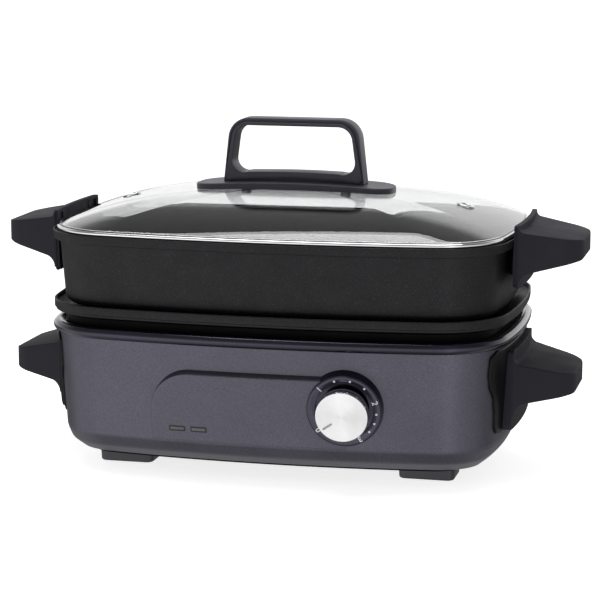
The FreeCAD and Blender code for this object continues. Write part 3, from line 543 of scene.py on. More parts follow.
lead_red = plastic("lead_red", (0.35, 0.03, 0.02), 0.4)
silicone = plastic("silicone", (0.35, 0.35, 0.36), 0.55)


# ---- housing ----

def lean(z):
    """How far the wall has drawn in at a height."""
    return (WALL_TOP - z) * CREASE_IN / (WALL_TOP - CREASE_Z)


def front_face(x, z):
    """Y of the wall's front face."""
    return x * x / (2 * BOW_R) - HALF_Y + lean(z)


def belly_ring(offset, z):
    """The plan below the crease, where the ends stay fuller than the front and back."""
    spare = END_FULLER * min(1, max(0, (CREASE_Z - z) / (CREASE_Z - BELLY_Z)))
    return [(x + nx * (offset + spare * nx * nx), y + ny * (offset + spare * nx * nx), z)
            for x, y, nx, ny in PLAN]


def wall_part():
    """The painted wall with its round-bellied skirt, as one closed sheet."""
    outside = rounded([
        (-BELLY_IN - 6, BELLY_Z + 0.4), (-BELLY_IN, BELLY_Z, 5), (-CREASE_IN - 8, CREASE_Z - 11, 18),
        (-CREASE_IN, CREASE_Z, 9), (0, WALL_TOP)], steps=9)
    inside = rounded([
        (-SHEET, WALL_TOP), (-CREASE_IN - SHEET, CREASE_Z, 8), (-CREASE_IN - 9.5, CREASE_Z - 10, 14),
        (-BELLY_IN - SHEET, BELLY_Z + 2.4), (-BELLY_IN - 6, BELLY_Z + 2.2)], steps=9)
    return loft([belly_ring(offset, z) for offset, z in outside + inside], closed=True)


PANEL_LEFT = -99
PANEL_TOP = 100.1       # where its top ledge leaves the wall
PANEL_R = 36
PANEL_OUT = 7.0         # how far the pad stands out at its top edge
PANEL_SLOPE = PANEL_OUT / (PANEL_TOP - CREASE_Z)
PANEL_START = CREASE_Z + 1
PANEL_EDGE = 0.7
LEDGE_SLOPE = 0.45      # the ledge over the pad rises towards the wall

dial_joint = next(joint for joint in frame["joints"] if joint["name"] == "knob_turn")
DIAL_AXIS = -Vector(dial_joint["axis"]).normalized()
DIAL_CENTRE = Vector(dial_joint["pos_m"]) / MM
DIAL_ACROSS = (Vector((1, 0, 0)) - DIAL_AXIS * DIAL_AXIS.x).normalized()
DIAL_UP = DIAL_AXIS.cross(DIAL_ACROSS)
DIAL_FRAME = Matrix((DIAL_ACROSS, DIAL_UP, DIAL_AXIS)).transposed().to_4x4()
DIAL_FRAME.translation = DIAL_CENTRE * MM
BOSS_R = 32.2
RING_R = 31.4
WELL_R = 25.0
KNOB_R = 22.6
KNOB_H = 14.0


def panel_part():
    """Control panel: a pad that stands out of the wall more and more towards its top edge."""
    face_top = PANEL_TOP - LEDGE_SLOPE * PANEL_SLOPE * (PANEL_TOP - CREASE_Z)
    radius = PANEL_R - PANEL_EDGE
    low = PANEL_START + PANEL_EDGE
    high = face_top - PANEL_EDGE
    straight = face_top - PANEL_R
    levels = [low + (straight - low) * step / 14 for step in range(14)]
    levels += [straight + (high - straight) * sin(step / 18 * pi / 2) for step in range(19)]
    rows = []
    for z in levels:
        left = PANEL_LEFT + PANEL_EDGE
        if z > straight:
            left += radius - sqrt(max(0, radius ** 2 - (z - straight) ** 2))
        hidden = sqrt(max(0, (BOSS_R - 3) ** 2 - (z - DIAL_CENTRE.z) ** 2))
        rows.append((z, left, DIAL_CENTRE.x - hidden))

    def place(z, x, drop):
        height = PANEL_SLOPE * max(0, z - CREASE_Z)
        drop = min(drop, height + 0.3)
        z += LEDGE_SLOPE * drop
        return x, front_face(x, z) - height + drop, z

    return patch(rows, 40, place, PANEL_EDGE, 20)


def revolve(profile, steps=96, closed=True, material=0):
    """Round part about the dial's own axis, in the dial's frame."""
    loops = []
    for radius, height in profile:
        loops.append([(radius * cos(2 * pi * k / steps), radius * sin(2 * pi * k / steps), height)
                      for k in range(steps)])
    return loft(loops, closed=closed, material=material)


def on_dial(part):
    points, faces, material = part
    turned = [(DIAL_CENTRE + DIAL_ACROSS * x + DIAL_UP * y + DIAL_AXIS * h) for x, y, h in points]
    return [tuple(point) for point in turned], faces, material


def boss_part():
    """Round boss that carries the dial ring, with the knob's well in it."""
    return on_dial(revolve(rounded([
        (BOSS_R + 2.6, -12), (BOSS_R, 0, 0.7), (RING_R + 0.1, 0, 0.3), (RING_R + 0.1, -1.6),
        (WELL_R, -1.6), (WELL_R, -5), (6, -5), (6, -12)]), material=1))


make_piece("housing_shell", [wall_part(), panel_part(), boss_part()], "base",
           [housing_paint, gloss_paint], ["base_shell"])


def rim_part():
    """Rolled rim: a round bead that falls away inside, and a skirt down inside the wall."""
    middle = (WALL_TOP + RIM_TOP) / 2
    half = (RIM_TOP - WALL_TOP) / 2
    bead = [(BEAD_OUT - 4.6 + 4.6 * cos(k * pi / 16), middle + half * sin(k * pi / 16))
            for k in range(-7, 12)]
    profile = [(-SHEET - 0.1, WALL_TOP - 8), (-SHEET - 0.1, WALL_TOP), (0.5, WALL_TOP)] + bead
    profile += [(-3, RIM_TOP - 3.4), (-5.5, RIM_TOP - 4.6), (-6, RIM_TOP - 6), (-6, WALL_TOP - 8)]
    return loft([ring(offset, z) for offset, z in profile], closed=True)


make_piece("rolled_rim", [rim_part()], "base", [gloss_paint], ["top_rim"])


# ---- dial, knob and lamps ----

def dial_ring_part():
    return revolve(rounded([
        (WELL_R + 0.1, -1.6), (WELL_R + 0.1, -0.7, 0.3), (WELL_R + 4, 0.4, 3),
        (RING_R, 0.4, 0.5), (RING_R, -1.6)]))


make_piece("dial_scale_ring", [dial_ring_part()], "base", [dial_paint],
           ["dial_ring"], matrix=DIAL_FRAME)

MARK_R = 28.1
MARK_HEIGHT = 0.46
DIGIT_SIZE = 7.2
NUMBER_ANGLES = {"0": 218, "1": 136, "2": 17, "3": -62}
DOT_ANGLES = (105, 77, 49, -4, -22, -40)
DOT_R = 1.0


def digit_part(text, angle):
    """A digit from the built-in font, its foot towards the knob."""
    curve = bpy.data.curves.new("digit", "FONT")
    curve.body = text
    curve.size = DIGIT_SIZE
    curve.align_x = "CENTER"
    curve.align_y = "CENTER"
    curve.extrude = 0.05
    curve.offset = 0.15
    holder = bpy.data.objects.new("digit", curve)
    mesh = bpy.data.meshes.new_from_object(holder)
    turn = Matrix.Rotation(radians(angle - 90), 4, "Z")
    spot = Vector((MARK_R * cos(radians(angle)), MARK_R * sin(radians(angle)), MARK_HEIGHT))
    points = [tuple(turn @ vertex.co + spot) for vertex in mesh.vertices]
    faces = [tuple(polygon.vertices) for polygon in mesh.polygons]
    bpy.data.objects.remove(holder)
    bpy.data.curves.remove(curve)
    bpy.data.meshes.remove(mesh)
    return points, faces, 0


def dot_part(angle):
    middle = (MARK_R * cos(radians(angle)), MARK_R * sin(radians(angle)))
    loops = []
    for radius, height in ((DOT_R, -0.1), (DOT_R, 0.02), (DOT_R * 0.7, 0.08)):
        loops.append([(middle[0] + radius * cos(k * pi / 8), middle[1] + radius * sin(k * pi / 8),
                       MARK_HEIGHT + height) for k in range(16)])
    return loft(loops)


marks = [digit_part(text, angle) for text, angle in NUMBER_ANGLES.items()]
marks += [dot_part(angle) for angle in DOT_ANGLES]
make_piece("dial_marks", marks, "base", [mark_white], matrix=DIAL_FRAME)

POINTER_ANGLE = 215
POINTER_MID = 15        # from the knob's axis


def knob_cap_part():
    """Turned cap: polished side, satin face."""
    side = revolve(rounded([
        (18, 3.4), (KNOB_R - 0.9, 3.4, 0.4), (KNOB_R, 5), (KNOB_R - 0.2, KNOB_H, 0.6),
        (KNOB_R - 2.2, KNOB_H), (18, KNOB_H)]), closed=False)
    points, faces, _ = side
    return points, faces[:-2], 0


def knob_face_part():
    """Very slightly crowned disc that closes the cap."""
    profile = [(18, 3.4), (KNOB_R - 0.9, 3.6)]
    crown = [(KNOB_R - 0.9 - 1.35 * k, KNOB_H + 0.02 * k) for k in range(15)]
    return revolve(profile + crown + [(0.8, KNOB_H + 0.3)], closed=False, material=1)


def pointer_part():
    """Engraved line with a dark outline, filled with grey."""
    turn = radians(POINTER_ANGLE)
    parts = []
    for material, half_l, half_w, top in ((3, 4.9, 0.85, 0.26), (2, 4.6, 0.5, 0.29)):
        loops = []
        for height, inset in ((KNOB_H - 0.3, 0), (KNOB_H + top - 0.04, 0), (KNOB_H + top, 0.1)):
            outline = rounded_box(half_l - inset, half_w - inset, half_w - inset)
            loops.append([((a + POINTER_MID) * cos(turn) - b * sin(turn),
                           (a + POINTER_MID) * sin(turn) + b * cos(turn), height) for a, b in outline])
        parts.append(loft(loops, material=material))
    return parts


make_piece("knob_body", [knob_cap_part(), knob_face_part()] + pointer_part(), "knob",
           [knob_chrome, knob_satin, mark_grey, mark_dark], ["knob_cap"], matrix=DIAL_FRAME)


def knob_collar_part():
    return revolve(rounded([
        (3.1, -1), (KNOB_R - 1.8, -1, 0.3), (KNOB_R - 0.8, 3.3, 0.3), (3.1, 3.3)]))


make_piece("knob_collar", [knob_collar_part()], "knob", [knob_chrome],
           ["knob_skirt"], matrix=DIAL_FRAME)


def lamp_parts(node):
    """Dark bezel with a grey lens bar in it, lying on the panel's sloping face."""
    low, high = corners(node)
    middle = (low + high) / 2
    face = front_face(middle.x, middle.z) - PANEL_SLOPE * (middle.z - CREASE_Z)
    tilt = PANEL_SLOPE + CREASE_IN / (WALL_TOP - CREASE_Z)
    turn = middle.x / BOW_R
    half_l = (high.x - low.x) / 2 + 0.3
    half_h = (high.z - low.z) / 2 + 0.4
    parts = []
    for material, shrink, levels in ((1, 0, (-1.5, 0.10, 0.25)), (0, 1.3, (-1.0, 0.25, 0.45))):
        loops = []
        for out, inset in zip(levels, (0, 0, 0.3)):
            outline = rounded_box(half_l - shrink - inset, half_h - shrink - inset, 0.8)
            loops.append([(middle.x + a, face - out + turn * a - tilt * b, middle.z + b)
                          for a, b in outline])
        parts.append(loft(loops, material=material))
    return parts


for node in ("lamp_lens_left", "lamp_lens_right"):
    make_piece(node.replace("lens", "window"), lamp_parts(node), "base",
               [lens_grey, lens_frame], [node])


# ---- feet ----

def foot_part(node):
    low, high = corners(node)
    middle = (low + high) / 2
    half = (high - low) / 2
    levels = [(2.4, low.z)] + [(2.2 - 1.6 * sin(k * pi / 8), low.z + 1.6 * (1 - cos(k * pi / 8)))
                               for k in range(1, 5)] + [(0, high.z + 1.2)]
    return loft([[(middle.x + a, middle.y + b, z)
                  for a, b in rounded_box(half.x - inset, half.y - inset, 7 - inset)]
                 for inset, z in levels])


for end in ("front", "rear"):
    for side in ("left", "right"):
        node = f"foot_{end}_{side}"
        make_piece(f"moulded_{node}", [foot_part(node)], "base",
                   [foot_plastic], [node])


def rubber_pad_parts():
    low, high = corners("foot_pads")
    radius = 7.5
    parts = []
    for sx in (-1, 1):
        for sy in (-1, 1):
            x = sx * (high.x - radius)
            y = sy * (high.y - radius)
            profile = rounded([(radius - 1.2, low.z), (radius, low.z + 0.9, 0.8), (radius, high.z)])
            parts.append(loft([[(x + r * cos(k * pi / 16), y + r * sin(k * pi / 16), z)
                                for k in range(32)] for r, z in profile]))
    return parts


make_piece("rubber_feet", rubber_pad_parts(), "base", [rubber], ["foot_pads"])


# ---- side handles ----

HANDLE_SHEET = 4.4
HANDLE_HALF = 57
HANDLE_EDGE = 0.8
HANDLE_BOW = 2.9        # how far a flange has curved back at its two ends
GRIP_ROOT = 56.9
GRIP_TIP = 40           # half width at the tip
GRIP_TIP_R = 17
TIP_EDGE = 2.2
GRIP_SINK = 1.6         # how deep a grip starts inside its flange
GRIP_FOLLOW = 10        # over this length a grip's sections flatten from the flange's bow


def bowed_slab(half_y, low, high, outer, inner, low_r, high_r, middle=0, rows=12):
    """Slab that follows the bowed end; outer(z) and inner(z) are its two faces' offsets."""
    reach = half_y - HANDLE_EDGE
    ends = [reach - max(low_r, high_r) * (1 - cos(k * pi / 16)) for k in range(9)]
    spans = max(2, round(half_y / 5))
    inside = [ends[-1] * (1 - 2 * k / spans) for k in range(1, spans)]
    places = ends + inside + [-y for y in reversed(ends)]
    columns = [(y, low + HANDLE_EDGE + flare(reach - abs(y), max(0.01, low_r - HANDLE_EDGE)),
                high - HANDLE_EDGE - flare(reach - abs(y), max(0.01, high_r - HANDLE_EDGE)))
               for y in reversed(places)]
    sink = HANDLE_SHEET

    def place(y, z, drop):
        if drop >= sink:
            return end_x(y + middle, inner(z)), y + middle, z
        return end_x(y + middle, outer(z)) - drop, y + middle, z

    return patch(columns, rows, place, HANDLE_EDGE, sink)


def grip_part(root, tip, lower, upper, brace, lip):
    """Tapered grip; lower and upper are its edges, each (z at the root, z at the tip).

    brace and lip are the fillets that it grows from the flange with, below and above.
    """
    loops = []
    length = tip - root
    steps = 40
    places = [root + length * (1 - cos(k * pi / steps)) / 2 for k in range(steps + 1)]
    for x in [root - GRIP_SINK] + places:
        out = max(0, x - root)
        along = out / length
        low = lower[0] + (lower[1] - lower[0]) * along - flare(out, brace)
        high = upper[0] + (upper[1] - upper[0]) * along + flare(out, lip)
        half_y = GRIP_ROOT + (GRIP_TIP - GRIP_ROOT) * along - flare(tip - x, GRIP_TIP_R)
        edge = flare(tip - x, TIP_EDGE)
        outline = rounded_box(half_y - edge, (high - low) / 2 - edge, 1.3, steps=5)
        follow = max(0, 1 - out / GRIP_FOLLOW)
        loops.append([(x + follow * (end_x(a, 0) - end_x(GRIP_ROOT, 0)), a, (low + high) / 2 + b)
                      for a, b in outline])
    return loft(loops)


BASE_OFFSET = 2.0       # thickness of the pad behind the base handle's flange
BASE_LEAN = 2.0         # how far that flange leans in below BASE_LEAN_Z
BASE_LEAN_Z = 66
BASE_RAISE = 3.5        # how much higher this grip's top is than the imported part's


def base_outer(z):
    """Offset of the flange's outer face, which leans in below the grip."""
    return BASE_OFFSET + HANDLE_SHEET - BASE_LEAN * max(0, (BASE_LEAN_Z - z) / (BASE_LEAN_Z - grip_low.z))


def base_inner(z):
    return BASE_OFFSET - lean(z)


def base_grip_parts():
    root = HALF_X + BASE_OFFSET + HANDLE_SHEET - HANDLE_BOW
    flange = bowed_slab(HANDLE_HALF, grip_low.z, grip_high.z, base_outer, base_inner, 7, 4)
    upper = (99.5 + BASE_RAISE, 88.5 + BASE_RAISE)
    return [flange, grip_part(root, grip_high.x, (65.8, 74.5), upper, 9, 5)]


POT_OFFSET = POT_OUT + 0.2
POCKET_DEPTH = 2.6
POT_LEAN = 0.7          # how far the flange leans in from its shoulder to its lower edge
RIB_COUNT = 7
RIB_PITCH = 18
INSET = 0.6             # how much narrower the parts behind the flange's skin are


def pot_grip_parts():
    """Pot handle; above the pot's rim its flange is a thin skin with ribs behind it."""
    low, high = ear_low.z, ear_high.z
    shoulder = pot_high.z + 2
    face = POT_OFFSET + HANDLE_SHEET

    def at(offset):
        return lambda z: offset + POT_LEAN * (z - shoulder) / (shoulder - low)

    root = HALF_X + face - HANDLE_BOW
    backing = HANDLE_HALF - INSET
    skin, wall, seat = at(face), at(face - 1), at(POT_OFFSET)
    parts = [grip_part(root, ear_high.x, (180.3, 192.5), (218.3, 210), 8, 4),
             bowed_slab(HANDLE_HALF, low, high, skin, at(POT_OFFSET + POCKET_DEPTH), 7, 4),
             bowed_slab(backing, low + 1, shoulder, wall, seat, 6, 1, rows=8),
             bowed_slab(backing, high - 3, high - 0.1, wall, seat, 1, 2, rows=2)]
    for index in range(RIB_COUNT):
        middle = (index - RIB_COUNT // 2) * RIB_PITCH
        parts.append(bowed_slab(2.2, shoulder - 1, high - 1, wall, seat, 1, 1, middle=middle, rows=2))
    return parts


SIDES = (("right", lambda part: part), ("left", mirrored))
for side, turn in SIDES:
    make_piece(f"base_grip_{side}", [turn(part) for part in base_grip_parts()], "base",
               [handle_black], [f"base_handle_{side}"])
    make_piece(f"pot_grip_{side}", [turn(part) for part in pot_grip_parts()], "pot",
               [handle_black], [f"pot_handle_{side}"])

# Half width of the pad against height: broad beside the grip, waisted below it.
PAD_SHAPE = ((pad_low.z + 1.5, 64), (46, 76), (51, 79.5), (62, 81), (74, 84), (91, 93), (100, 95),
             (114, 94), (pad_high.z, 84))


def pad_half(z):
    for (z0, w0), (z1, w1) in zip(PAD_SHAPE, PAD_SHAPE[1:]):
        if z <= z1:
            share = (z - z0) / (z1 - z0)
            return w0 + (w1 - w0) * (3 * share ** 2 - 2 * share ** 3)
    return PAD_SHAPE[-1][1]


def wrap_pad_part():
    """Heat-resistant pad round the housing's end, its face parallel to the wall."""
    edge = 0.7
    low, high = PAD_SHAPE[0][0] + edge, pad_high.z - edge
    levels = [low + (high - low) * k / 40 for k in range(41)]
    columns = [(z, edge - pad_half(z), pad_half(z) - edge) for z in levels]

    def place(z, s, drop):
        return (*end_place(s, BASE_OFFSET - lean(z) - drop), z)

    return patch(columns, 60, place, edge, 3)


wrap_pad = wrap_pad_part()
for side, turn in SIDES:
    make_piece(f"wrap_pad_{side}", [turn(wrap_pad)], "base", [pad_black],
               [f"base_handle_pad_{side}"])


# ---- grill plate ----

PLATE_TOP = plate_high.z
PLATE_FLOOR = PLATE_TOP - 7.2
RIDGE_TOP = PLATE_FLOOR + 3.4
RIDGE_COUNT = 17
RIDGE_PITCH = 21
FLOOR_IN = -50          # where a floor's profile stops, well inside its wall


def plate_part():
    """Grill plate: floor, raised wall and a rim with a step under its lip."""
    profile = rounded([
        (FLOOR_IN, PLATE_TOP - 12.2), (-4, PLATE_TOP - 12.2, 2), (1, PLATE_TOP - 9.7),
        (PLATE_OUT - 1.3, PLATE_TOP - 9.7, 0.8), (PLATE_OUT - 1.3, PLATE_TOP - 7.6, 0.4),
        (PLATE_OUT, PLATE_TOP - 7.2, 0.5), (PLATE_OUT, PLATE_TOP, 0.9), (PLATE_OUT - 1.7, PLATE_TOP, 0.7),
        (PLATE_OUT - 2.4, PLATE_TOP - 4.6, 1.5), (-8, PLATE_FLOOR, 4), (FLOOR_IN, PLATE_FLOOR)])
    return loft([ring(offset, z) for offset, z in profile])


def plate_skirt_part():
    out = -8
    profile = [(out, plate_low.z), (out, PLATE_TOP - 12), (out - 4, PLATE_TOP - 12), (out - 4, plate_low.z)]
    return loft([ring(offset, z) for offset, z in profile], closed=True, material=1)


def ridge_part(x):
    """One ridge across the plate, its ends sloping down to the floor."""
    half = depth_at(x, -22)
    loops = []
    for y, rise in ((-half, 0.1), (-half + 1.5, 0.75), (-half + 4, 1), (half - 4, 1),
                    (half - 1.5, 0.75), (half, 0.1)):
        top = PLATE_FLOOR + (RIDGE_TOP - PLATE_FLOOR) * rise
        outline = rounded([(-3, PLATE_FLOOR - 0.5), (-1.7, top, 0.8), (1.7, top, 0.8),
                           (3, PLATE_FLOOR - 0.5)], steps=3)
        loops.append([(x + a, y, z) for a, z in outline])
    return loft(loops)


make_piece("ribbed_plate", [plate_part(), plate_skirt_part()]
           + [ridge_part((index - RIDGE_COUNT // 2) * RIDGE_PITCH) for index in range(RIDGE_COUNT)],
           "plate", [nonstick, enamel], ["grill_plate"])


# ---- pot ----

POT_TOP = pot_high.z
POT_BOTTOM = pot_low.z
FLANGE_Z = POT_TOP - 7.9
CAST = 2.8


def pot_part():
    """Deep cast pot: rounded floor, tapered wall and a thick rolled flange."""
    profile = rounded([
        (FLOOR_IN, POT_BOTTOM), (-6.2, POT_BOTTOM, 8), (-1.6, FLANGE_Z, 1), (POT_OUT - 0.6, FLANGE_Z, 0.8),
        (POT_OUT, POT_TOP, 0.7), (POT_OUT - 1.4, POT_TOP, 0.5), (POT_OUT - 1.8, POT_TOP - 2.2, 0.5),
        (LID_OUT - 0.6, POT_TOP - 2.2, 0.5), (LID_OUT - 1.2, POT_TOP - 0.1, 0.4),
        (-1.6 - CAST, POT_TOP, 1.2), (-5.6 - CAST, POT_BOTTOM + CAST, 9),
        (FLOOR_IN, POT_BOTTOM + CAST)], steps=8)
    return loft([ring(offset, z) for offset, z in profile])


def lug_part():
    """Cast lug that the handle is screwed to."""
    inner = HALF_X - 4
    outer = HALF_X + POT_OUT - 0.4
    low = ear_low.z + 8
    return loft([[(x, a, (low + FLANGE_Z) / 2 + b)
                  for a, b in rounded_box(26, (FLANGE_Z + 1 - low) / 2, 2)] for x in (inner, outer)])


make_piece("deep_pot", [pot_part(), lug_part(), mirrored(lug_part())], "pot",
           [nonstick], ["pot"])


# ---- lid ----

GLASS = 3.6
DOME_POWER = 3
GLASS_EDGE_TOP = steel_high.z - 2.4
DOME_RISE = glass_high.z - GLASS_EDGE_TOP


def dome_height(share):
    return DOME_RISE * (1 - share ** DOME_POWER)


def glass_ring(share, z):
    """The lid's outline, shrunk towards the middle."""
    return [(x * share, y * share, z) for x, y, _ in ring(0.4, 0)]


def glass_part():
    shares = [1 - (k / 44) ** 1.9 * 0.99 for k in range(45)]
    top = [glass_ring(share, GLASS_EDGE_TOP + dome_height(share) - flare((1 - share) * HALF_Y, 1.8))
           for share in shares]
    under = [glass_ring(share * 0.994, GLASS_EDGE_TOP - GLASS + dome_height(share)) for share in shares]
    edge = [glass_ring(1, GLASS_EDGE_TOP - GLASS * (k + 0.5) / 5) for k in range(4, 2, -1)]
    return loft(under[::-1] + edge + top)


make_piece("domed_glass", [glass_part()], "lid", [lid_clear], ["lid_glass"], sharp=60)


def steel_rim_part():
    """Narrow steel channel rolled over the glass's edge."""
    low = steel_low.z
    lip = GLASS_EDGE_TOP - 0.2
    profile = rounded([
        (-3.0, low), (LID_OUT, low, 0.9), (LID_OUT, lip - 0.5, 1.5), (-1.3, lip + 0.5, 0.5),
        (-1.4, lip - 0.1), (0.5, lip - 1.7), (0.5, low + 0.6), (-3.0, low + 0.5)], steps=6)
    return loft([ring(offset, z) for offset, z in profile], closed=True)


make_piece("steel_edge", [steel_rim_part()], "lid", [polished_steel], ["lid_rim"])

VENT_R = 4.2
VENT_FLANGE_R = 8.4


def vent_part():
    """Rolled eyelet, built about +Z with the glass's surface at 0."""
    return revolve(rounded([
        (VENT_R, -GLASS - 1.3), (VENT_R, 1.5, 1.0), (VENT_FLANGE_R, 1.3, 1.1), (VENT_FLANGE_R, 0),
        (VENT_R + 1, 0), (VENT_R + 1, -GLASS), (VENT_FLANGE_R - 1, -GLASS),
        (VENT_FLANGE_R - 1, -GLASS - 1.3, 0.6)]), steps=48)


def vent_frame(node):
    low, high = corners(node)
    x = (low.x + high.x) / 2
    share = abs(x) / (HALF_X + 0.4)
    slope = DOME_RISE * DOME_POWER * share ** (DOME_POWER - 1) / (HALF_X + 0.4)
    up = Vector((slope if x > 0 else -slope, 0, 1)).normalized()
    spot = Vector((x, 0, GLASS_EDGE_TOP + dome_height(share)))
    turn = Vector((0, 0, 1)).rotation_difference(up).to_matrix().to_4x4()
    return Matrix.Translation(spot * MM) @ turn


for side in ("left", "right"):
    make_piece(f"steam_eyelet_{side}", [vent_part()], "lid", [polished_steel],
               [f"vent_{side}"], matrix=vent_frame(f"vent_{side}"))

# ---- lid handle ----

STRAP_HALF_X = strap_high.x
STRAP_HALF_Y = strap_high.y
STRAP_R = 20
STRAP_EDGE = 1.1
STRAP_TOP = strap_high.z
STRAP_ARC_R = 1150


def strap_crown(x):
    return STRAP_TOP - x * x / (2 * STRAP_ARC_R)


def strap_part():
    """Arched plate with rounded ends that sits on the glass."""
    radius = STRAP_R - STRAP_EDGE
    straight = STRAP_HALF_X - STRAP_R
    side = STRAP_HALF_Y - STRAP_EDGE

    def end(middle, start):
        angles = [start - step / 10 * pi / 2 for step in range(11)]
        halves = [STRAP_HALF_Y - STRAP_R + radius * sin(angle) for angle in angles]
        return [(middle + radius * cos(angle), -half, half) for angle, half in zip(angles, halves)]

    between = [(-straight + 2 * straight * step / 24, -side, side) for step in range(1, 24)]
    columns = end(-straight, pi) + between + end(straight, pi / 2)

    def place(x, y, drop):
        if drop > STRAP_EDGE:
            share = max(abs(x) / (HALF_X + 0.4), abs(y) / (HALF_Y + 0.4))
            return x, y, GLASS_EDGE_TOP + dome_height(share) - 0.2
        return x, y, strap_crown(x) - drop

    return patch(columns, 10, place, STRAP_EDGE, 20)


make_piece("arched_plate", [strap_part()], "lid", [handle_violet],
           ["lid_handle_plate"])

LOOP_HALF_Y = loop_high.y
LOOP_TOP = loop_high.z
LOOP_FOOT = loop_high.x + 1.2
LOOP_HEAD = LOOP_FOOT - 6.3
LOOP_BAR = 6.6
BAR_RISE = 8.4


def loop_outline(foot, head, top, floor, foot_r, head_r):
    """Closed outline of the loop: legs, head, and a floor that follows the arched plate."""
    base = strap_crown(foot) + floor
    sides = rounded([(foot, base, foot_r), (head, top, head_r), (-head, top, head_r),
                     (-foot, base, foot_r)], steps=10)
    bar = []
    for step in range(1, 16):
        x = (foot - foot_r) * (2 * step / 16 - 1)
        bar.append((x, strap_crown(x) + floor))
    return sides + bar


def loop_part():
    """Grip loop: a frame round the opening, a groove, and a set-back outer band."""
    outer = loop_outline(LOOP_FOOT, LOOP_HEAD, LOOP_TOP, -0.3, 1.2, 19)
    inner = loop_outline(LOOP_FOOT - LOOP_BAR, LOOP_HEAD - LOOP_BAR + 0.4, LOOP_TOP - LOOP_BAR,
                         BAR_RISE, 11, 13)
    half = LOOP_HALF_Y
    front = [(0.0, -half, 1.0), (2.9, -half, 0.5), (3.1, 2.8 - half, 0.2), (4.3, 2.8 - half, 0.2),
             (4.5, 1.5 - half, 0.4), (LOOP_BAR, 1.5 - half, 1.0)]
    section = rounded(front + [(w, -y, r) for w, y, r in reversed(front)], steps=3)
    loops = []
    for (ox, oz), (ix, iz) in zip(outer, inner):
        across = Vector((ox - ix, oz - iz))
        unit = across.normalized()
        loop = []
        for w, y in section:
            reach = w if w <= 1.2 else across.length - (LOOP_BAR - w)
            loop.append((ix + unit.x * reach, y, iz + unit.y * reach))
        loops.append(loop)
    return loft(loops, closed=True)


make_piece("grip_loop", [loop_part()], "lid", [handle_violet], ["lid_handle_loop"])

# ---- finishes of the parts kept from the frame ----

KEPT_FINISH = {
    "heat_tray": enamel, "reflector": bright_sheet, "heating_element": dark_steel,
    "element_clips": zinc_steel, "bottom_cover": enamel, "cover_posts": zinc_steel,
    "cover_screws": screw_steel, "base_handle_screws": screw_steel, "thermostat": ceramic,
    "thermal_fuse": zinc_steel, "terminal_block": nylon, "terminal_screws": screw_steel,
    "lamp_board": board_green, "wiring": lead_red, "cable_gland": handle_black,
    "knob_shaft": screw_steel, "pot_handle_screws": screw_steel, "lid_screws": screw_steel,
    "lid_washers": silicone,
}
for node, finish in KEPT_FINISH.items():
    mesh = frame["nodes"][node].data
    mesh.materials.clear()
    mesh.materials.append(finish)

# ---- floor, light and camera ----

SCENE = bpy.context.scene
# Brightness round the horizon (degrees from the front, + to the right), and against height.
STUDIO_ROUND = ((-180, 0.8), (-120, 0.7), (-70, 0.62), (-32, 0.85), (0, 0.62), (20, 0.62), (36, 0.95),
                (55, 0.55), (90, 0.4), (125, 0.7), (180, 0.8))
STUDIO_FRONT = ((-1, 0.12), (-0.8, 0.5), (-0.5, 0.9), (-0.1, 1.0), (0.15, 0.35), (0.5, 0.2), (1, 0.2))
STUDIO_BACK = ((-0.6, 0.4), (-0.12, 0.06), (-0.02, 0.9), (0.3, 0.62), (0.5, 0.62), (0.62, 0.22),
               (1, 0.22))
STUDIO_GAIN = 1.75
CAMERA_AZIMUTH = 13.655
CAMERA_ELEVATION = 10.248
CAMERA_DISTANCE = 2061.8
CAMERA_TARGET = Vector((3.728, 0, 141.029))
CAMERA_LENS = 136.295


def make_floor():
    """White floor; it glows a little so that only a faint contact shadow is left on it."""
    bpy.ops.mesh.primitive_plane_add(size=40, location=(0, 0, 0))
    floor = bpy.context.object
    floor.name = "studio_floor"
    material, tree, shader, place = start_material("floor_white", (0.86, 0.86, 0.87), 0.6)
    tint(tree, shader, noise(tree, place, 400, 2), [
        (0.3, (0.85, 0.85, 0.86)), (0.7, (0.88, 0.88, 0.88))])
    fill(shader, Emission_Color=(1, 1, 1, 1), Emission_Strength=0.8)
    floor.data.materials.append(material)
    floor.visible_diffuse = False
    floor.visible_glossy = False


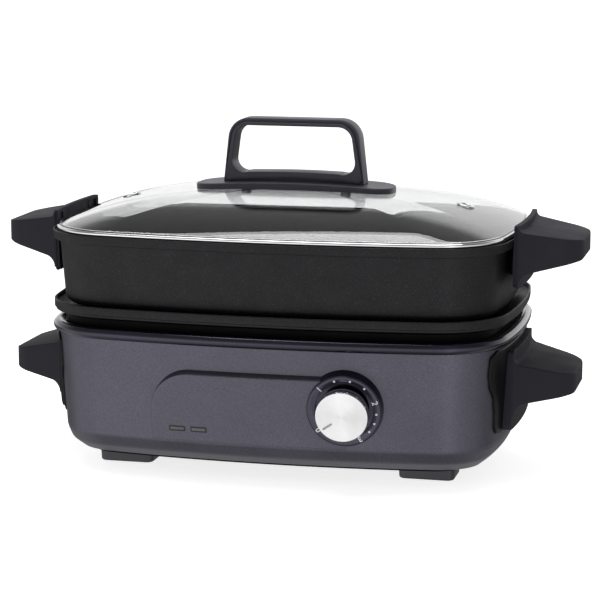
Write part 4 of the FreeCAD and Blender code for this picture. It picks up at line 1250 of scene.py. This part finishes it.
def make_light(name, place, aim, size, power):
    lamp = bpy.data.lights.new(name, "AREA")
    lamp.shape = "RECTANGLE"
    lamp.size, lamp.size_y = size
    lamp.energy = power
    holder = bpy.data.objects.new(name, lamp)
    holder.location = place
    holder.rotation_euler = (Vector(aim) - Vector(place)).to_track_quat("-Z", "Y").to_euler()
    SCENE.collection.objects.link(holder)


def make_world():
    """The studio's brightness, read round the horizon and up and down."""
    world = bpy.data.worlds.new("studio")
    world.use_nodes = True
    tree = world.node_tree
    direction = tree.nodes.new("ShaderNodeTexCoord").outputs["Generated"]
    axes = tree.nodes.new("ShaderNodeSeparateXYZ")
    tree.links.new(direction, axes.inputs[0])
    ahead = math_node(tree, "MULTIPLY", axes.outputs["Y"], -1)
    azimuth = math_node(tree, "ARCTAN2", axes.outputs["X"], ahead)
    around = ramp(tree, span(tree, azimuth, 0, 1, -pi, pi), [
        ((degrees + 180) / 360, (bright,) * 3) for degrees, bright in STUDIO_ROUND])
    height = span(tree, axes.outputs["Z"], 0, 1, -1, 1)
    front = ramp(tree, height, [((z + 1) / 2, (bright,) * 3) for z, bright in STUDIO_FRONT])
    backdrop = ramp(tree, height, [((z + 1) / 2, (bright,) * 3) for z, bright in STUDIO_BACK])
    split = span(tree, axes.outputs["Y"], 0, 1, -0.1, 0.4)
    upright = mix_node(tree, "MIX", split, front, backdrop)
    shine = tree.nodes["Background"]
    tree.links.new(mix_node(tree, "MULTIPLY", 1, around, upright), shine.inputs["Color"])
    fill(shine, Strength=STUDIO_GAIN)
    SCENE.world = world


def make_camera():
    """Camera at the product shot's angle: azimuth from the front, height over the horizon."""
    azimuth = radians(CAMERA_AZIMUTH)
    elevation = radians(CAMERA_ELEVATION)
    back = Vector((sin(azimuth) * cos(elevation), -cos(azimuth) * cos(elevation), sin(elevation)))
    camera = bpy.data.cameras.new("camera")
    camera.lens = CAMERA_LENS
    camera.sensor_width = 36
    holder = bpy.data.objects.new("camera", camera)
    holder.location = (CAMERA_TARGET + back * CAMERA_DISTANCE) * MM
    holder.rotation_euler = (-back).to_track_quat("-Z", "Y").to_euler()
    SCENE.collection.objects.link(holder)
    SCENE.camera = holder


make_floor()
make_world()
make_light("top", (-0.1, 0.2, 1.9), (0, 0, 0.1), (1.5, 1.0), 22)
make_camera()
SCENE.view_settings.view_transform = "Standard"
